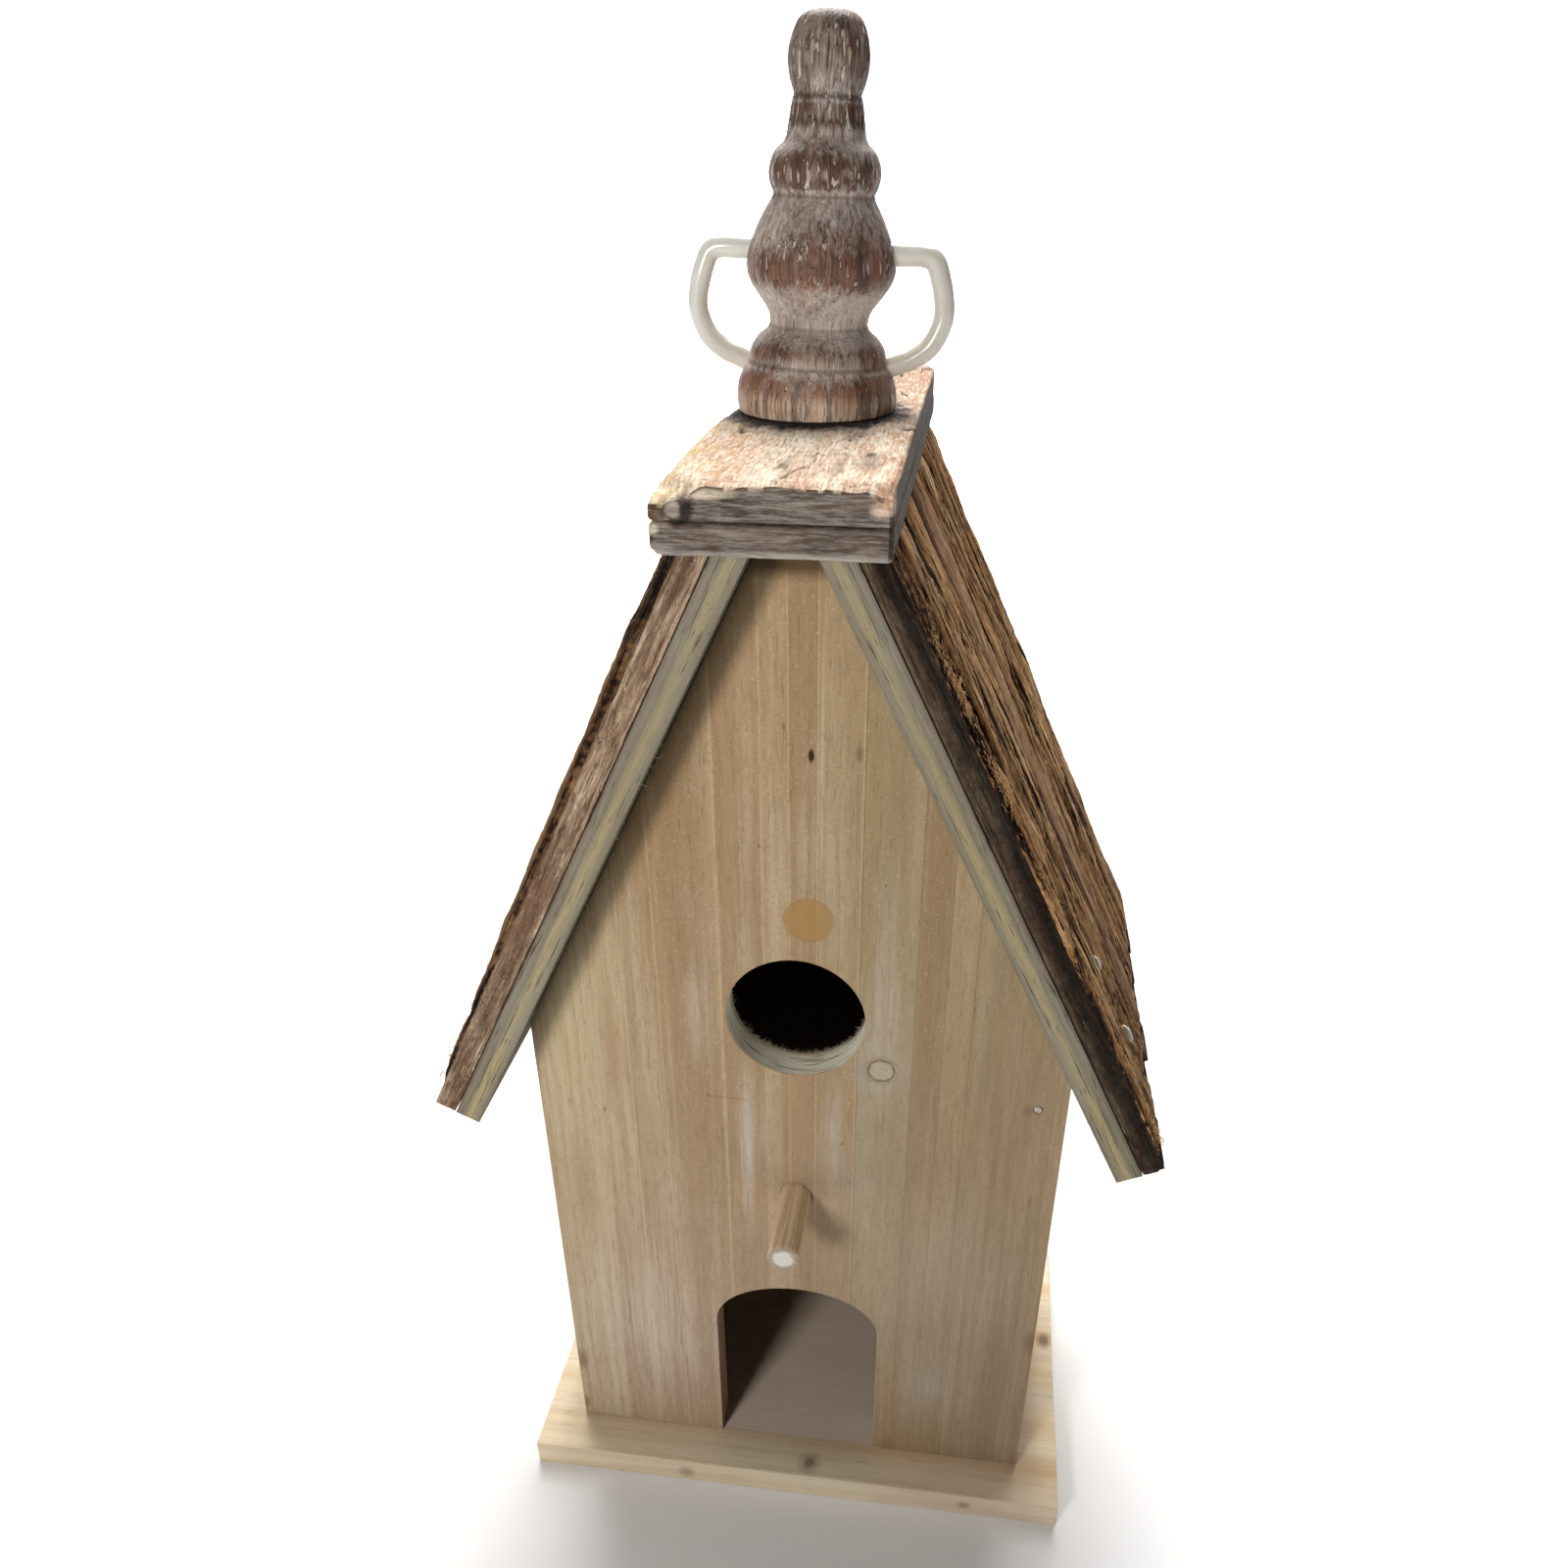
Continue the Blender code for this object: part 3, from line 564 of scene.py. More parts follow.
def front_wall_marks():
    """What marks the front wall's face: its stain, knots and scuffs, a painted shadow under the cap, and the
    wash marks that follow its grain, with painted light on the left and painted shade on the right.
    """
    plug, brad = (middle_of(node) / MM for node in ("wall_plug", "wall_brad"))
    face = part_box("front_wall")[0][1]
    white = (0.74, 0.70, 0.64)
    brown = (0.20, 0.12, 0.07)
    amber = (0.44, 0.27, 0.10)
    marks = face_marks(face, 3.0, (
        (3.5, 220.3, 6.6, 6.6, 0.05, 0.04, 0.55, (0.30, 0.165, 0.050)),
        (3.5, 220.3, 5.9, 5.9, 0.10, 0.05, 0.52, (0.40, 0.235, 0.075)),
        # painted shadow of the ridge cap on the top of the front wall
        (0.0, 315.0, 24.0, 6.5, 0.25, 0.05, 0.85, (0.060, 0.036, 0.014)),
        (4.1, 266.1, 0.75, 1.7, 0.3, 0.2, 0.97, (0.02, 0.012, 0.008)),
        (15.5, 267.2, 0.8, 1.8, 0.5, 0.2, 0.75, brown),
        (15.5, 252.0, 0.3, 12.0, 0.8, 0.1, 0.30, brown),
        (-2.4, 273.0, 0.35, 0.8, 0.4, 0.2, 0.8, brown),
        (-9.0, 241.0, 0.3, 0.5, 0.4, 0.2, 0.8, brown),
        (23.0, 232.0, 0.3, 0.5, 0.4, 0.2, 0.8, brown),
        (12.5, 199.0, 0.25, 0.25, 0.4, 0.2, 0.9, brown),
        (13.5, 146.0, 0.6, 0.7, 0.4, 0.2, 0.6, brown),
        (-56.0, 151.0, 0.5, 0.9, 0.4, 0.2, 0.6, brown),
        (-19.5, 159.3, 4.5, 0.35, 0.6, 0.45, 0.55, (0.27, 0.155, 0.08)),
        (-25.0, 159.6, 0.8, 0.5, 0.5, 0.4, 0.60, (0.22, 0.12, 0.06)),
        (plug[0] - 5.6, plug[2] - 0.5, 1.7, 3.2, 0.5, 0.3, 0.50, (0.33, 0.26, 0.22)),
        (brad[0] - 2.6, brad[2] - 0.8, 1.2, 2.0, 0.5, 0.25, 0.55, brown),
        (-73.6, 38.0, 1.6, 4.5, 0.5, 0.25, 0.70, brown),
        (-74.2, 16.0, 1.2, 3.0, 0.5, 0.25, 0.6, brown),
        (73.8, 71.0, 1.6, 4.5, 0.5, 0.25, 0.70, brown),
    ))
    washes_and_painted_shading = face_marks(face, 3.0, (
        # painted light: paler patches on the left of the wall
        (-60.0, 165.0, 17.0, 62.0, 0.9, 0.1, 0.50, (0.60, 0.52, 0.345)),
        (-46.0, 55.0, 28.0, 50.0, 0.9, 0.1, 0.40, (0.62, 0.51, 0.42)),
        (-14.3, 139.0, 1.6, 22.0, 0.8, 0.3, 0.45, white),
        (10.5, 150.0, 3.0, 12.0, 0.8, 0.3, 0.36, white),
        (14.0, 132.0, 10.0, 16.0, 0.8, 0.3, 0.25, white),
        (-26.0, 188.0, 3.0, 13.0, 0.8, 0.3, 0.36, white),
        (plug[0] - 0.5, plug[2] + 8.0, 6.0, 16.0, 0.8, 0.3, 0.35, white),
        (plug[0] + 0.8, plug[2] - 1.0, 7.5, 6.0, 0.5, 0.35, 0.50, (0.50, 0.46, 0.41)),
        (43.0, 95.0, 22.0, 26.0, 0.8, 0.3, 0.30, white),
        (44.0, 42.0, 9.0, 16.0, 0.8, 0.3, 0.50, white),
        (-48.0, 60.0, 16.0, 20.0, 0.8, 0.3, 0.26, white),
        (31.5, 27.0, 3.2, 19.0, 0.6, 0.3, 0.65, amber),
        (45.0, 22.0, 7.0, 13.0, 0.6, 0.35, 0.60, amber),
        (30.0, 13.0, 3.0, 3.0, 0.6, 0.35, 0.60, (0.34, 0.19, 0.08)),
        (-65.0, 120.0, 3.5, 18.0, 0.7, 0.3, 0.60, (0.32, 0.19, 0.11)),
        (-52.0, 172.0, 2.4, 19.0, 0.7, 0.3, 0.60, (0.36, 0.21, 0.11)),
        (60.0, 150.0, 6.0, 30.0, 0.8, 0.3, 0.45, (0.35, 0.22, 0.13)),
        (1.0, 152.0, 5.0, 36.0, 0.7, 0.2, 0.55, (0.43, 0.26, 0.13)),
        (-3.0, 150.0, 0.8, 34.0, 0.7, 0.3, 0.55, (0.30, 0.17, 0.08)),
        (24.0, 205.0, 3.0, 26.0, 0.8, 0.3, 0.35, white),
        (-18.0, 230.0, 2.5, 40.0, 0.8, 0.3, 0.45, (0.36, 0.22, 0.12)),
        # painted shade: the right and lower right of the wall darkened
        (66.0, 90.0, 50.0, 160.0, 0.9, 0.1, 0.72, (0.225, 0.165, 0.100)),
        (62.0, 20.0, 24.0, 50.0, 0.9, 0.2, 0.30, (0.22, 0.160, 0.115)),
        (6.8, 245.0, 0.5, 42.0, 0.7, 0.2, 0.55, (0.66, 0.55, 0.40)),
    ))
    return marks, washes_and_painted_shading


def base_wood(name):
    """The base board: creamy softwood with yellow-orange grain along X, a duller floor inside the house, a
    painted shadow of the house on the strip before the front wall, and a few brown knots."""
    material, place = new_material(name, 0.75)
    grain = place.carried(turn=(0, math.pi / 2, 0)).grain(0.7)
    low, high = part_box("base_board")
    x, y, _ = place.parts()
    floor = (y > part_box("front_wall")[0][1] + 1 * MM) * (abs(x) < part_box("right_wall")[0][0])
    floor = floor * (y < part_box("back_wall")[0][1])
    # painted shadow of the house on the strip of base before the front wall
    painted_house_shadow = y.span(low[1] + 14 * MM, low[1] + 3 * MM, 0.36, 0.14) * abs(x).span(78 * MM, 84 * MM, 1.0, 0.0)
    base = grain["Bands"].span(0.3, 0.72).ramp((
        (0.0, (0.86, 0.76, 0.58)), (0.45, (0.84, 0.71, 0.49)), (0.75, (0.77, 0.56, 0.32)),
        (1.0, (0.70, 0.55, 0.39)))).coated(
        (grain["Streaks"].span(0.46, 0.58) * 0.26, (0.54, 0.38, 0.24)),
        (place.cloud((22, 40, 22)).span(0.5, 0.7) * 0.4, (0.60, 0.43, 0.34)),
        (grain["Pores"] * 0.3, (0.30, 0.19, 0.10)),
        (floor * 0.66, (0.78, 0.66, 0.575)),
        (painted_house_shadow, (0.36, 0.25, 0.20)))
    knot = (0.15, 0.085, 0.055)
    left, right, front, top = low[0] / MM, high[0] / MM, low[1] / MM, high[2] / MM
    base = add_marks(place, base, (
        ((5.5, front + 5.5, top), (3.2, 3.6, 6), 0.5, 0.3, 0.45, knot),
        ((5.5, front + 5.5, top), (1.5, 1.7, 4), 0.4, 0.2, 0.55, knot),
        ((right - 3, 4.6, top), (2.2, 3.0, 4), 0.5, 0.3, 0.75, knot),
        ((-36, front, 4), (2.4, 3, 2.4), 0.5, 0.3, 0.45, knot),
        ((58, front, 5), (2.0, 3, 1.6), 0.5, 0.3, 0.5, knot),
        ((left + 6, 30, top), (9, 14, 5), 0.7, 0.3, 0.35, (0.62, 0.40, 0.20)),
        ((right - 8, -52, top), (9, 8, 5), 0.7, 0.3, 0.35, (0.42, 0.26, 0.17)),
    ))
    return finished(material, base, grain["Relief"], 0.0003, 0.45)


def roof_place(place, side):
    """Roof coordinates from object coordinates: the vector (out from the inner face, along Y, down the
    slope), then its first and last parts."""
    x, y, z = place.parts()
    across = x * float(side)
    drop = RIDGE_HEIGHT - z
    out = across * SLOPE_Z - drop * SLOPE_X
    down = across * SLOPE_X + drop * SLOPE_Z
    return place.joined(out, y, down), out, down


def roof_ply(name, side):
    """Plywood with its veneers showing on the edges, by depth: grey outer plies and a yellow-cream core."""
    material, place = new_material(name, 0.85)
    roof, out, _ = roof_place(place, side)
    grain = roof.grain()
    crack = roof.cloud((1500, 300, 26), 3.0, 0.65, (2, 4, 6)).span(0.62, 0.655)
    deep = (out + (roof.cloud(60.0, 3.0) - 0.5) * (1.1 * MM)) / (7.1 * MM)
    colour = deep.ramp((
        (0.00, (0.17, 0.145, 0.100)), (0.12, (0.25, 0.225, 0.165)), (0.25, (0.32, 0.272, 0.165)),
        (0.42, (0.41, 0.335, 0.175)), (0.58, (0.34, 0.285, 0.160)), (0.68, (0.19, 0.170, 0.125)),
        (0.84, (0.26, 0.230, 0.175)), (1.00, (0.10, 0.078, 0.055)))).coated(
        (roof.cloud((60, 60, 22), 3.0).span(0.40, 0.68) * 0.45, (0.30, 0.275, 0.215)),
        (grain["Streaks"].span(0.45, 0.60) * 0.50, (0.22, 0.18, 0.12)),
        (place.specks(1300.0, 0.45) * 0.45, (0.14, 0.105, 0.07)),
        (grain["Pores"] * 0.85, (0.07, 0.05, 0.035)),
        (crack * 0.8, (0.06, 0.042, 0.028)),
        (roof.cloud((1700, 300, 60), 3.0, 0.65, (5, 4, 6)).span(0.60, 0.66) * 0.32, (0.52, 0.48, 0.38)))
    return finished(material, colour, grain["Relief"] - crack * 0.8, 0.0005, 0.7)


def weathered(roof, purple=0.5):
    """The colour and relief of grey-brown weathered wood along the pattern's Z: a slow tone, brown patches,
    dark streaks, pale scratches and fuzz."""
    grain = roof.grain()
    scratch = roof.cloud((1500, 1500, 70), 4.0, 0.75, (1, 8, 3)).span(0.56, 0.64)
    colour = roof.cloud((260, 260, 34), 5.0, 0.7).span(0.36, 0.64).ramp((
        (0.0, (0.050, 0.032, 0.022)), (0.35, (0.115, 0.080, 0.060)), (0.70, (0.215, 0.168, 0.135)),
        (1.0, (0.37, 0.32, 0.27)))).coated(
        (roof.cloud((90, 90, 30), 3.0, shift=(8, 3, 1)).span(0.45, 0.65) * purple, (0.105, 0.060, 0.040)),
        (grain["Streaks"].span(0.47, 0.56) * 0.62, (0.050, 0.034, 0.026)),
        (scratch * 0.60, (0.50, 0.45, 0.40)),
        (roof.specks(1700.0, 0.5) * 0.45, (0.030, 0.020, 0.015)),
        (grain["Pores"] * 0.7, (0.02, 0.013, 0.010)))
    return colour, grain["Relief"] + scratch * 0.5


def roof_strip(name, side, pale, deep, painted_top_light):
    """A roof strip: weathered wood on its sawn sides, scaled by painted light and shade from pale below to
    deep above, and bark on top, ramped by how deep each point lies, from painted shade in its furrows to
    painted highlights on its tops, with patches, painted shade in thin dark gaps, pale tufts, and painted
    shade lower down the slope."""
    material, place = new_material(name, 0.92)
    roof, out, down = roof_place(place, side)
    wood, relief = weathered(roof)
    # painted light and shade: the sawn sides' brightness scaled from pale to deep across the strip, per roof
    # side
    worn = (out + (roof.cloud(150.0, 3.0) - 0.5) * (4.0 * MM)).span(7.6 * MM, 11.5 * MM, pale, deep)
    wood = wood.times(worn.joined(worn, worn * 0.88, worn * 0.72, kind="ShaderNodeCombineColor"))
    pink = place.attribute("pink")
    fibre = roof.cloud((700, 1900, 90), 5.0, 0.72)
    patch = roof.cloud((90, 150, 24), 3.0, shift=(5, 5, 5)).span(0.48, 0.72, 0.0, 0.45)
    # painted shade and highlight: the bark near black where it lies deep, in furrows and between strips, and
    # pale gold on its highest fibres, over its own browns
    skin = (place.attribute("depth") + (fibre - 0.5) * 1.15).ramp((
        (0.0, (0.006, 0.003, 0.002)), (0.22, (0.050, 0.021, 0.009)), (0.35, (0.30, 0.140, 0.054)),
        (0.55, (0.62, 0.330, 0.140)), (0.78, (0.84, 0.510, 0.245)), (1.0, (0.97, 0.74, 0.46))))
    skin = skin.blend(patch, skin, (0.50, 0.36, 0.28), 'MULTIPLY')
    # painted shade: thin near-black cracks in the bark
    gap = abs(roof.cloud((160, 430, 12), 3.0, 0.55, (2, 6, 1)) - 0.5).span(0.012, 0.034, 1.0, 0.0)
    gap = gap * (0.95 - pink * 0.6)
    tuft = roof.cloud((1500, 2300, 300), 3.0, 0.7, (9, 1, 2)).span(0.60, 0.66)
    skin = skin.coated((pink * 0.50, (0.50, 0.30, 0.195)), (gap, (0.008, 0.004, 0.003)),
                       (tuft * 0.50, (0.76, 0.52, 0.29)))
    # painted shade: the bark darker lower down the slope, scaled by the side's painted top light
    painted_slope_shade = down.span(0.11, 0.20, painted_top_light, 0.66 * painted_top_light)
    skin = skin.times(painted_slope_shade.joined(painted_slope_shade, painted_slope_shade, painted_slope_shade, kind="ShaderNodeCombineColor"))
    edge = (place.attribute("bark") + (fibre - 0.5) * 1.2).span(0.42, 0.55)
    return finished(material, wood.coated((edge, skin)), relief + fibre * 1.8 - gap, 0.0010, 0.9)


def cap_wood(name, split):
    """Cap board: weathered sides with grain along the board, and on the upper board a freshly split top."""
    material, place = new_material(name, 0.86)
    x, y, z = place.parts()
    low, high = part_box("ridge_cap_lower")
    at_side = abs(x) > (high[0] - low[0]) / 2 - 0.9 * MM
    along = place.add("ShaderNodeMix", {0: at_side, 4: place.joined(z, y, x), 5: place.joined(z, x, y)}, 1,
                      data_type='VECTOR')
    colour, relief = weathered(along, 0.6)
    pale = place.cloud((190, 90, 1900), 5.0, 0.75, (1, 2, 3)).span(0.44, 0.64)
    colour = colour.coated((pale * (0.66 if split else 0.42), (0.44, 0.40, 0.36)),
                           (at_side * 0.76, (0.040, 0.024, 0.012)))
    colour = add_marks(place, colour, cap_marks())
    if split:
        grain = place.carried(turn=(math.pi / 2, 0, 0)).grain(0.8)
        colour = colour.coated((place.attribute("fresh"), split_top(place, grain)))
        relief = relief + grain["Relief"] * 0.8
    return finished(material, colour, relief, 0.0006, 0.75)


def split_top(place, grain):
    """The split face: cream turning pink, redder to the right, duller to the rear and yellower to the left,
    with slanted torn fibres, painted shade in the cracks by depth, and a black ring round the finial's foot,
    part stain and part painted shade of the gap under the foot."""
    x, y, _ = place.parts()
    right = x.span(0.004, 0.022) * place.cloud((260, 60, 60), 4.0, 0.7, (3, 1, 1)).span(0.44, 0.56)
    left = x.span(-0.006, -0.020) * place.cloud((200, 60, 60), 4.0, 0.7, (6, 1, 1)).span(0.42, 0.58)
    torn = place.carried((1700, 210, 500), turn=(0, 0, 0.30)).cloud(1.0, 4.0, 0.72)
    warm = place.cloud((110, 24, 40), 4.0, 0.65).span(0.42, 0.60)
    top = warm.mixed((0.83, 0.72, 0.565), (0.74, 0.525, 0.385)).coated(
        (right * 0.8, (0.56, 0.285, 0.165)),
        (y.span(-0.01, 0.05) * 0.78, (0.47, 0.290, 0.205)),
        (left * 0.8, (0.68, 0.50, 0.22)),
        (torn.span(0.53, 0.58, 0.0, 0.62), (0.46, 0.235, 0.125)),
        (torn.span(0.47, 0.43, 0.0, 0.62), (0.92, 0.85, 0.72)),
        (grain["Streaks"].span(0.50, 0.58) * 0.34, (0.44, 0.25, 0.13)),
        (grain["Pores"] * 0.6, (0.10, 0.055, 0.03)),
        # painted shade: the cracks darkened by depth
        (place.attribute("depth").span(0.10, 0.34, 0.92, 0.0), (0.075, 0.040, 0.022)))
    top_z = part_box("ridge_cap_upper")[1][2] / MM
    foot = (FINIAL_X / MM, -2.0, top_z)
    return add_marks(place, top, (
        # the black ring round the foot: part stain, part painted shade of the gap under the finial's foot
        (foot, (27, 29, 12), 0.22, 0.45, 0.55, (0.20, 0.165, 0.15)),
        (foot, (22.5, 23.5, 12), 0.10, 0.28, 0.93, (0.020, 0.014, 0.012)),
        ((16.3, -51, top_z), (1.0, 2.2, 4), 0.5, 0.4, 0.85, (0.05, 0.035, 0.03)),
        ((16.6, -58, top_z), (2.4, 7, 4), 0.6, 0.6, 0.55, (0.20, 0.16, 0.13)),
        ((11.0, -63, top_z), (1.2, 9, 4), 0.6, 0.6, 0.55, (0.25, 0.13, 0.07)),
    ))


def cap_marks():
    """What marks the cap's front face: a knot in a dark ring, torn cream wood and a peach smear."""
    cream, ring = (0.76, 0.64, 0.48), (0.045, 0.030, 0.022)
    return face_marks(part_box("ridge_cap_upper")[0][1], 2.2, (
        (-20.6, 329.6, 3.8, 2.8, 0.35, 0.45, 0.85, cream),
        (-13.2, 332.6, 5.4, 1.2, 0.35, 0.40, 0.85, cream),
        (-23.2, 325.7, 1.6, 1.1, 0.35, 0.40, 0.80, cream),
        (-17.9, 329.2, 3.4, 2.9, 0.15, 0.40, 0.95, ring),
        (-18.4, 329.4, 1.7, 1.5, 0.20, 0.30, 0.90, (0.36, 0.30, 0.25)),
        (21.4, 330.4, 2.1, 1.2, 0.35, 0.30, 0.85, (0.86, 0.64, 0.50)),
        (-22.5, 321.6, 4.0, 1.4, 0.50, 0.50, 0.45, (0.55, 0.50, 0.46)),
        (4.0, 320.9, 24.0, 0.7, 0.60, 0.50, 0.60, (0.52, 0.47, 0.42)),
    ))


def ring_lines(height, lines):
    """A value that rises to a peak and falls again at each of some heights: (start, middle, end, peak)."""
    return height.ramp([stop for start, middle, end, peak in lines
                        for stop in ((start, 0.0), (middle, peak), (end, 0.0))])


def stained_wood(name):
    """Turned wood: brown by height, its foot band paler than its own tan as painted light, whitewashed where
    it lies in a groove or dust clings, with thin lines of painted shade in the grooves at its beads and pale
    lines beside them, and pale flakes with painted shadow at their lips where chips were torn."""
    material, place = new_material(name, 0.62, 0.35)
    height, groove, gouge, rows = (place.attribute(key) for key in ("height", "groove", "gouge", "rows"))
    grain = place.grain(1.1)
    # painted light: the foot band next to the cap made much paler than its tan to offset the shade there
    bare = height.ramp((
        (0.0, (0.95, 0.74, 0.56)), (0.055, (0.84, 0.62, 0.45)), (0.085, (0.40, 0.230, 0.145)),
        (0.11, (0.30, 0.155, 0.094)), (0.18, (0.31, 0.180, 0.124)), (0.21, (0.170, 0.098, 0.068)),
        (0.30, (0.23, 0.150, 0.115)), (0.36, (0.245, 0.125, 0.082)), (0.42, (0.215, 0.106, 0.068)),
        (0.50, (0.24, 0.145, 0.108)), (0.62, (0.175, 0.098, 0.072)), (0.74, (0.17, 0.098, 0.074)),
        (0.86, (0.21, 0.155, 0.130)), (1.0, (0.28, 0.20, 0.165))))
    tone = place.cloud((260, 260, 30), 5.0, 0.68).span(0.40, 0.62)
    dusty = place.cloud((950, 950, 80), 5.0, 0.75, (7, 7, 7))
    blotch = place.cloud((70, 70, 60), 3.0, shift=(4, 1, 9))
    wash = groove * 0.80 + dusty.span(0.36, 0.70, -0.46, 0.46) + blotch.span(0.34, 0.68, -0.42, 0.36)
    wash = wash.span(0.10, 1.10)
    # painted shade: thin dark lines in the grooves between the finial's runs
    painted_groove_shade = ring_lines(height, (
        (0.139, 0.146, 0.151, 0.9), (0.236, 0.243, 0.250, 0.7), (0.566, 0.573, 0.579, 0.9),
        (0.798, 0.805, 0.811, 1.0)))
    pale_line = ring_lines(height, (
        (0.128, 0.134, 0.140, 0.9), (0.579, 0.586, 0.593, 0.7), (0.786, 0.793, 0.799, 0.8)))
    above = place.cloud((1150, 1150, 150), 2.0, 0.45, (3, 9, 5)) - (0.72 - rows * 0.16)
    torn = above.span(0.0, 0.012)
    # painted shadow: a dark rim beside each pale torn flake
    lip = place.math('SUBTRACT', above.span(-0.022, -0.006), torn, use_clamp=True)
    flake = dusty.span(0.40, 0.60).mixed((0.36, 0.25, 0.18), (0.74, 0.65, 0.57))
    colour = bare.blend(tone, bare, (0.68, 0.58, 0.51), 'MULTIPLY').coated(
        (place.cloud((90, 90, 40), 3.0, shift=(2, 2, 2)).span(0.50, 0.62) * 0.55, (0.25, 0.122, 0.070)),
        (grain["Streaks"].span(0.47, 0.55) * 0.68, (0.055, 0.032, 0.024)),
        (wash * 0.84, (0.68, 0.60, 0.54)),
        (painted_groove_shade * 0.60, (0.045, 0.028, 0.022)),
        (pale_line * dusty.span(0.40, 0.62, 0.0, 0.75), (0.70, 0.64, 0.59)),
        (lip * 0.85, (0.045, 0.026, 0.018)),
        (torn * 0.85, flake),
        (gouge.span(0.25, 0.9) * 0.45, (0.40, 0.31, 0.25)),
        (grain["Pores"] * 0.6, (0.03, 0.018, 0.014)))
    relief = grain["Relief"] + torn - lip * 1.2
    return finished(material, colour, relief, 0.0006, 0.8, Roughness=wash.span(0.0, 1.0, 0.52, 0.85))


def enamel(name):
    """Glossy off-white enamel, a little yellowed and dusty, with painted shade making it browner towards its
    foot.
    """
    material, place = new_material(name, 0.22, 0.5)
    shader = material.node_tree.nodes["Principled BSDF"].inputs
    shader["Coat Weight"].default_value = 0.4
    shader["Coat Roughness"].default_value = 0.12
    cloud = place.cloud(190.0, 3.0)
    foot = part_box("finial")[0][2]
    colour = cloud.span(0.4, 0.7).mixed((0.80, 0.79, 0.73), (0.72, 0.69, 0.60)).coated(
        (place.specks(420.0, 0.18) * 0.5, (0.42, 0.36, 0.29)),
        # painted shade: the enamel browner towards the finial's foot
        (place.parts()[2].span(foot + 6 * MM, foot + 19 * MM, 0.50, 0.0), (0.42, 0.29, 0.17)))
    return finished(material, colour, place.cloud(300.0), 0.0002, 0.3,
                    Roughness=cloud.span(0.3, 0.7, 0.18, 0.34))


def round_stock(name, node, rim, end_plane, end_colours, colour=(0.50, 0.37, 0.24)):
    """A small round wooden piece along Y: grain along it, and on its sawn front end growth rings, a worn rim
    of one colour, and another outside it. The end colours are for the middle, the rim and outside."""
    material, place = new_material(name, 0.7)
    middle = middle_of(node)
    end_colour, rim_colour, outer_colour = end_colours
    grain = place.carried(turn=(math.pi / 2, 0, 0)).grain(1.3)
    x, y, z = place.parts()
    rings = place.add("ShaderNodeTexWave", {
        "Vector": place.carried((1, 0, 1), (-middle[0] + 2 * MM, 0, -middle[2] + 5 * MM)),
        "Scale": 190.0, "Distortion": 1.5, "Detail": 2.0, "Detail Scale": 3.0},
        "Fac", wave_type='RINGS', rings_direction='SPHERICAL')
    reach = radius_of(x - middle[0], z - middle[2])
    worn = reach + (place.cloud(420.0, 3.0) - 0.5) * (1.4 * MM)
    end = (rings * 0.14).mixed(end_colour, (0.47, 0.36, 0.25)).coated(
        (worn.span(rim - 0.7 * MM, rim, 0.0, 0.80), rim_colour),
        (reach.span(rim + 0.1 * MM, rim + 0.5 * MM), outer_colour))
    side = (grain["Streaks"].span(0.40, 0.62) * 0.6).mixed(colour, (0.36, 0.24, 0.14)).coated(
        (grain["Pores"] * 0.5, (0.20, 0.12, 0.07)),
        (y.span(end_plane, end_plane + 0.5 * MM, 1.0, 0.0), end))
    return finished(material, side, grain["Relief"] + rings, 0.0002, 0.5)


def steel(name, colour=(0.42, 0.41, 0.40), metallic=1.0, roughness=0.42):
    """Dull steel with small brown rust blooms, which are rougher and less metallic."""
    material, place = new_material(name, roughness, 0.5)
    rust = place.cloud(900.0, 4.0, 0.6).span(0.50, 0.64)
    return finished(material, (rust * 0.7).mixed(colour, (0.16, 0.085, 0.05)), rust, 0.0001, 0.5,
                    Metallic=rust.span(0.0, 1.0, metallic, metallic * 0.2),
                    Roughness=rust.span(0.0, 1.0, roughness, 0.85))


def plain_grained(name, base_colour, streak_colour, roughness, scale=(1500, 1500, 300), relief=0.0003):
    """A single stock with streaks, for splinters, bark threads and glue."""
    material, place = new_material(name, roughness)
    streaks = place.cloud(scale, 3.0, 0.6).span(0.38, 0.64)
    return finished(material, streaks.mixed(base_colour, streak_colour), streaks, relief, 0.4)


# ---- Roof pieces -------------------------------------------------

def to_roof(points, side):
    """World points as (down the slope from the ridge line, Y, out from the roof's inner face)."""
    across = side * points[:, 0]
    drop = RIDGE_HEIGHT - points[:, 2]
    return np.stack([across * SLOPE_X + drop * SLOPE_Z, points[:, 1],
                     across * SLOPE_Z - drop * SLOPE_X], axis=1)


def from_roof(down, y, out, side):
    """World points from the slope's own coordinates."""
    return np.stack([side * (down * SLOPE_X + out * SLOPE_Z), y,
                     RIDGE_HEIGHT - down * SLOPE_Z + out * SLOPE_X], axis=1)


def roof_extent(name, side):
    """The lowest and highest of a CAD node's points in the slope's own coordinates."""
    mesh = NODES[name].data
    flat = np.empty(len(mesh.vertices) * 3)
    mesh.vertices.foreach_get("co", flat)
    extent = to_roof(flat.reshape(-1, 3), side)
    return extent.min(axis=0), extent.max(axis=0)


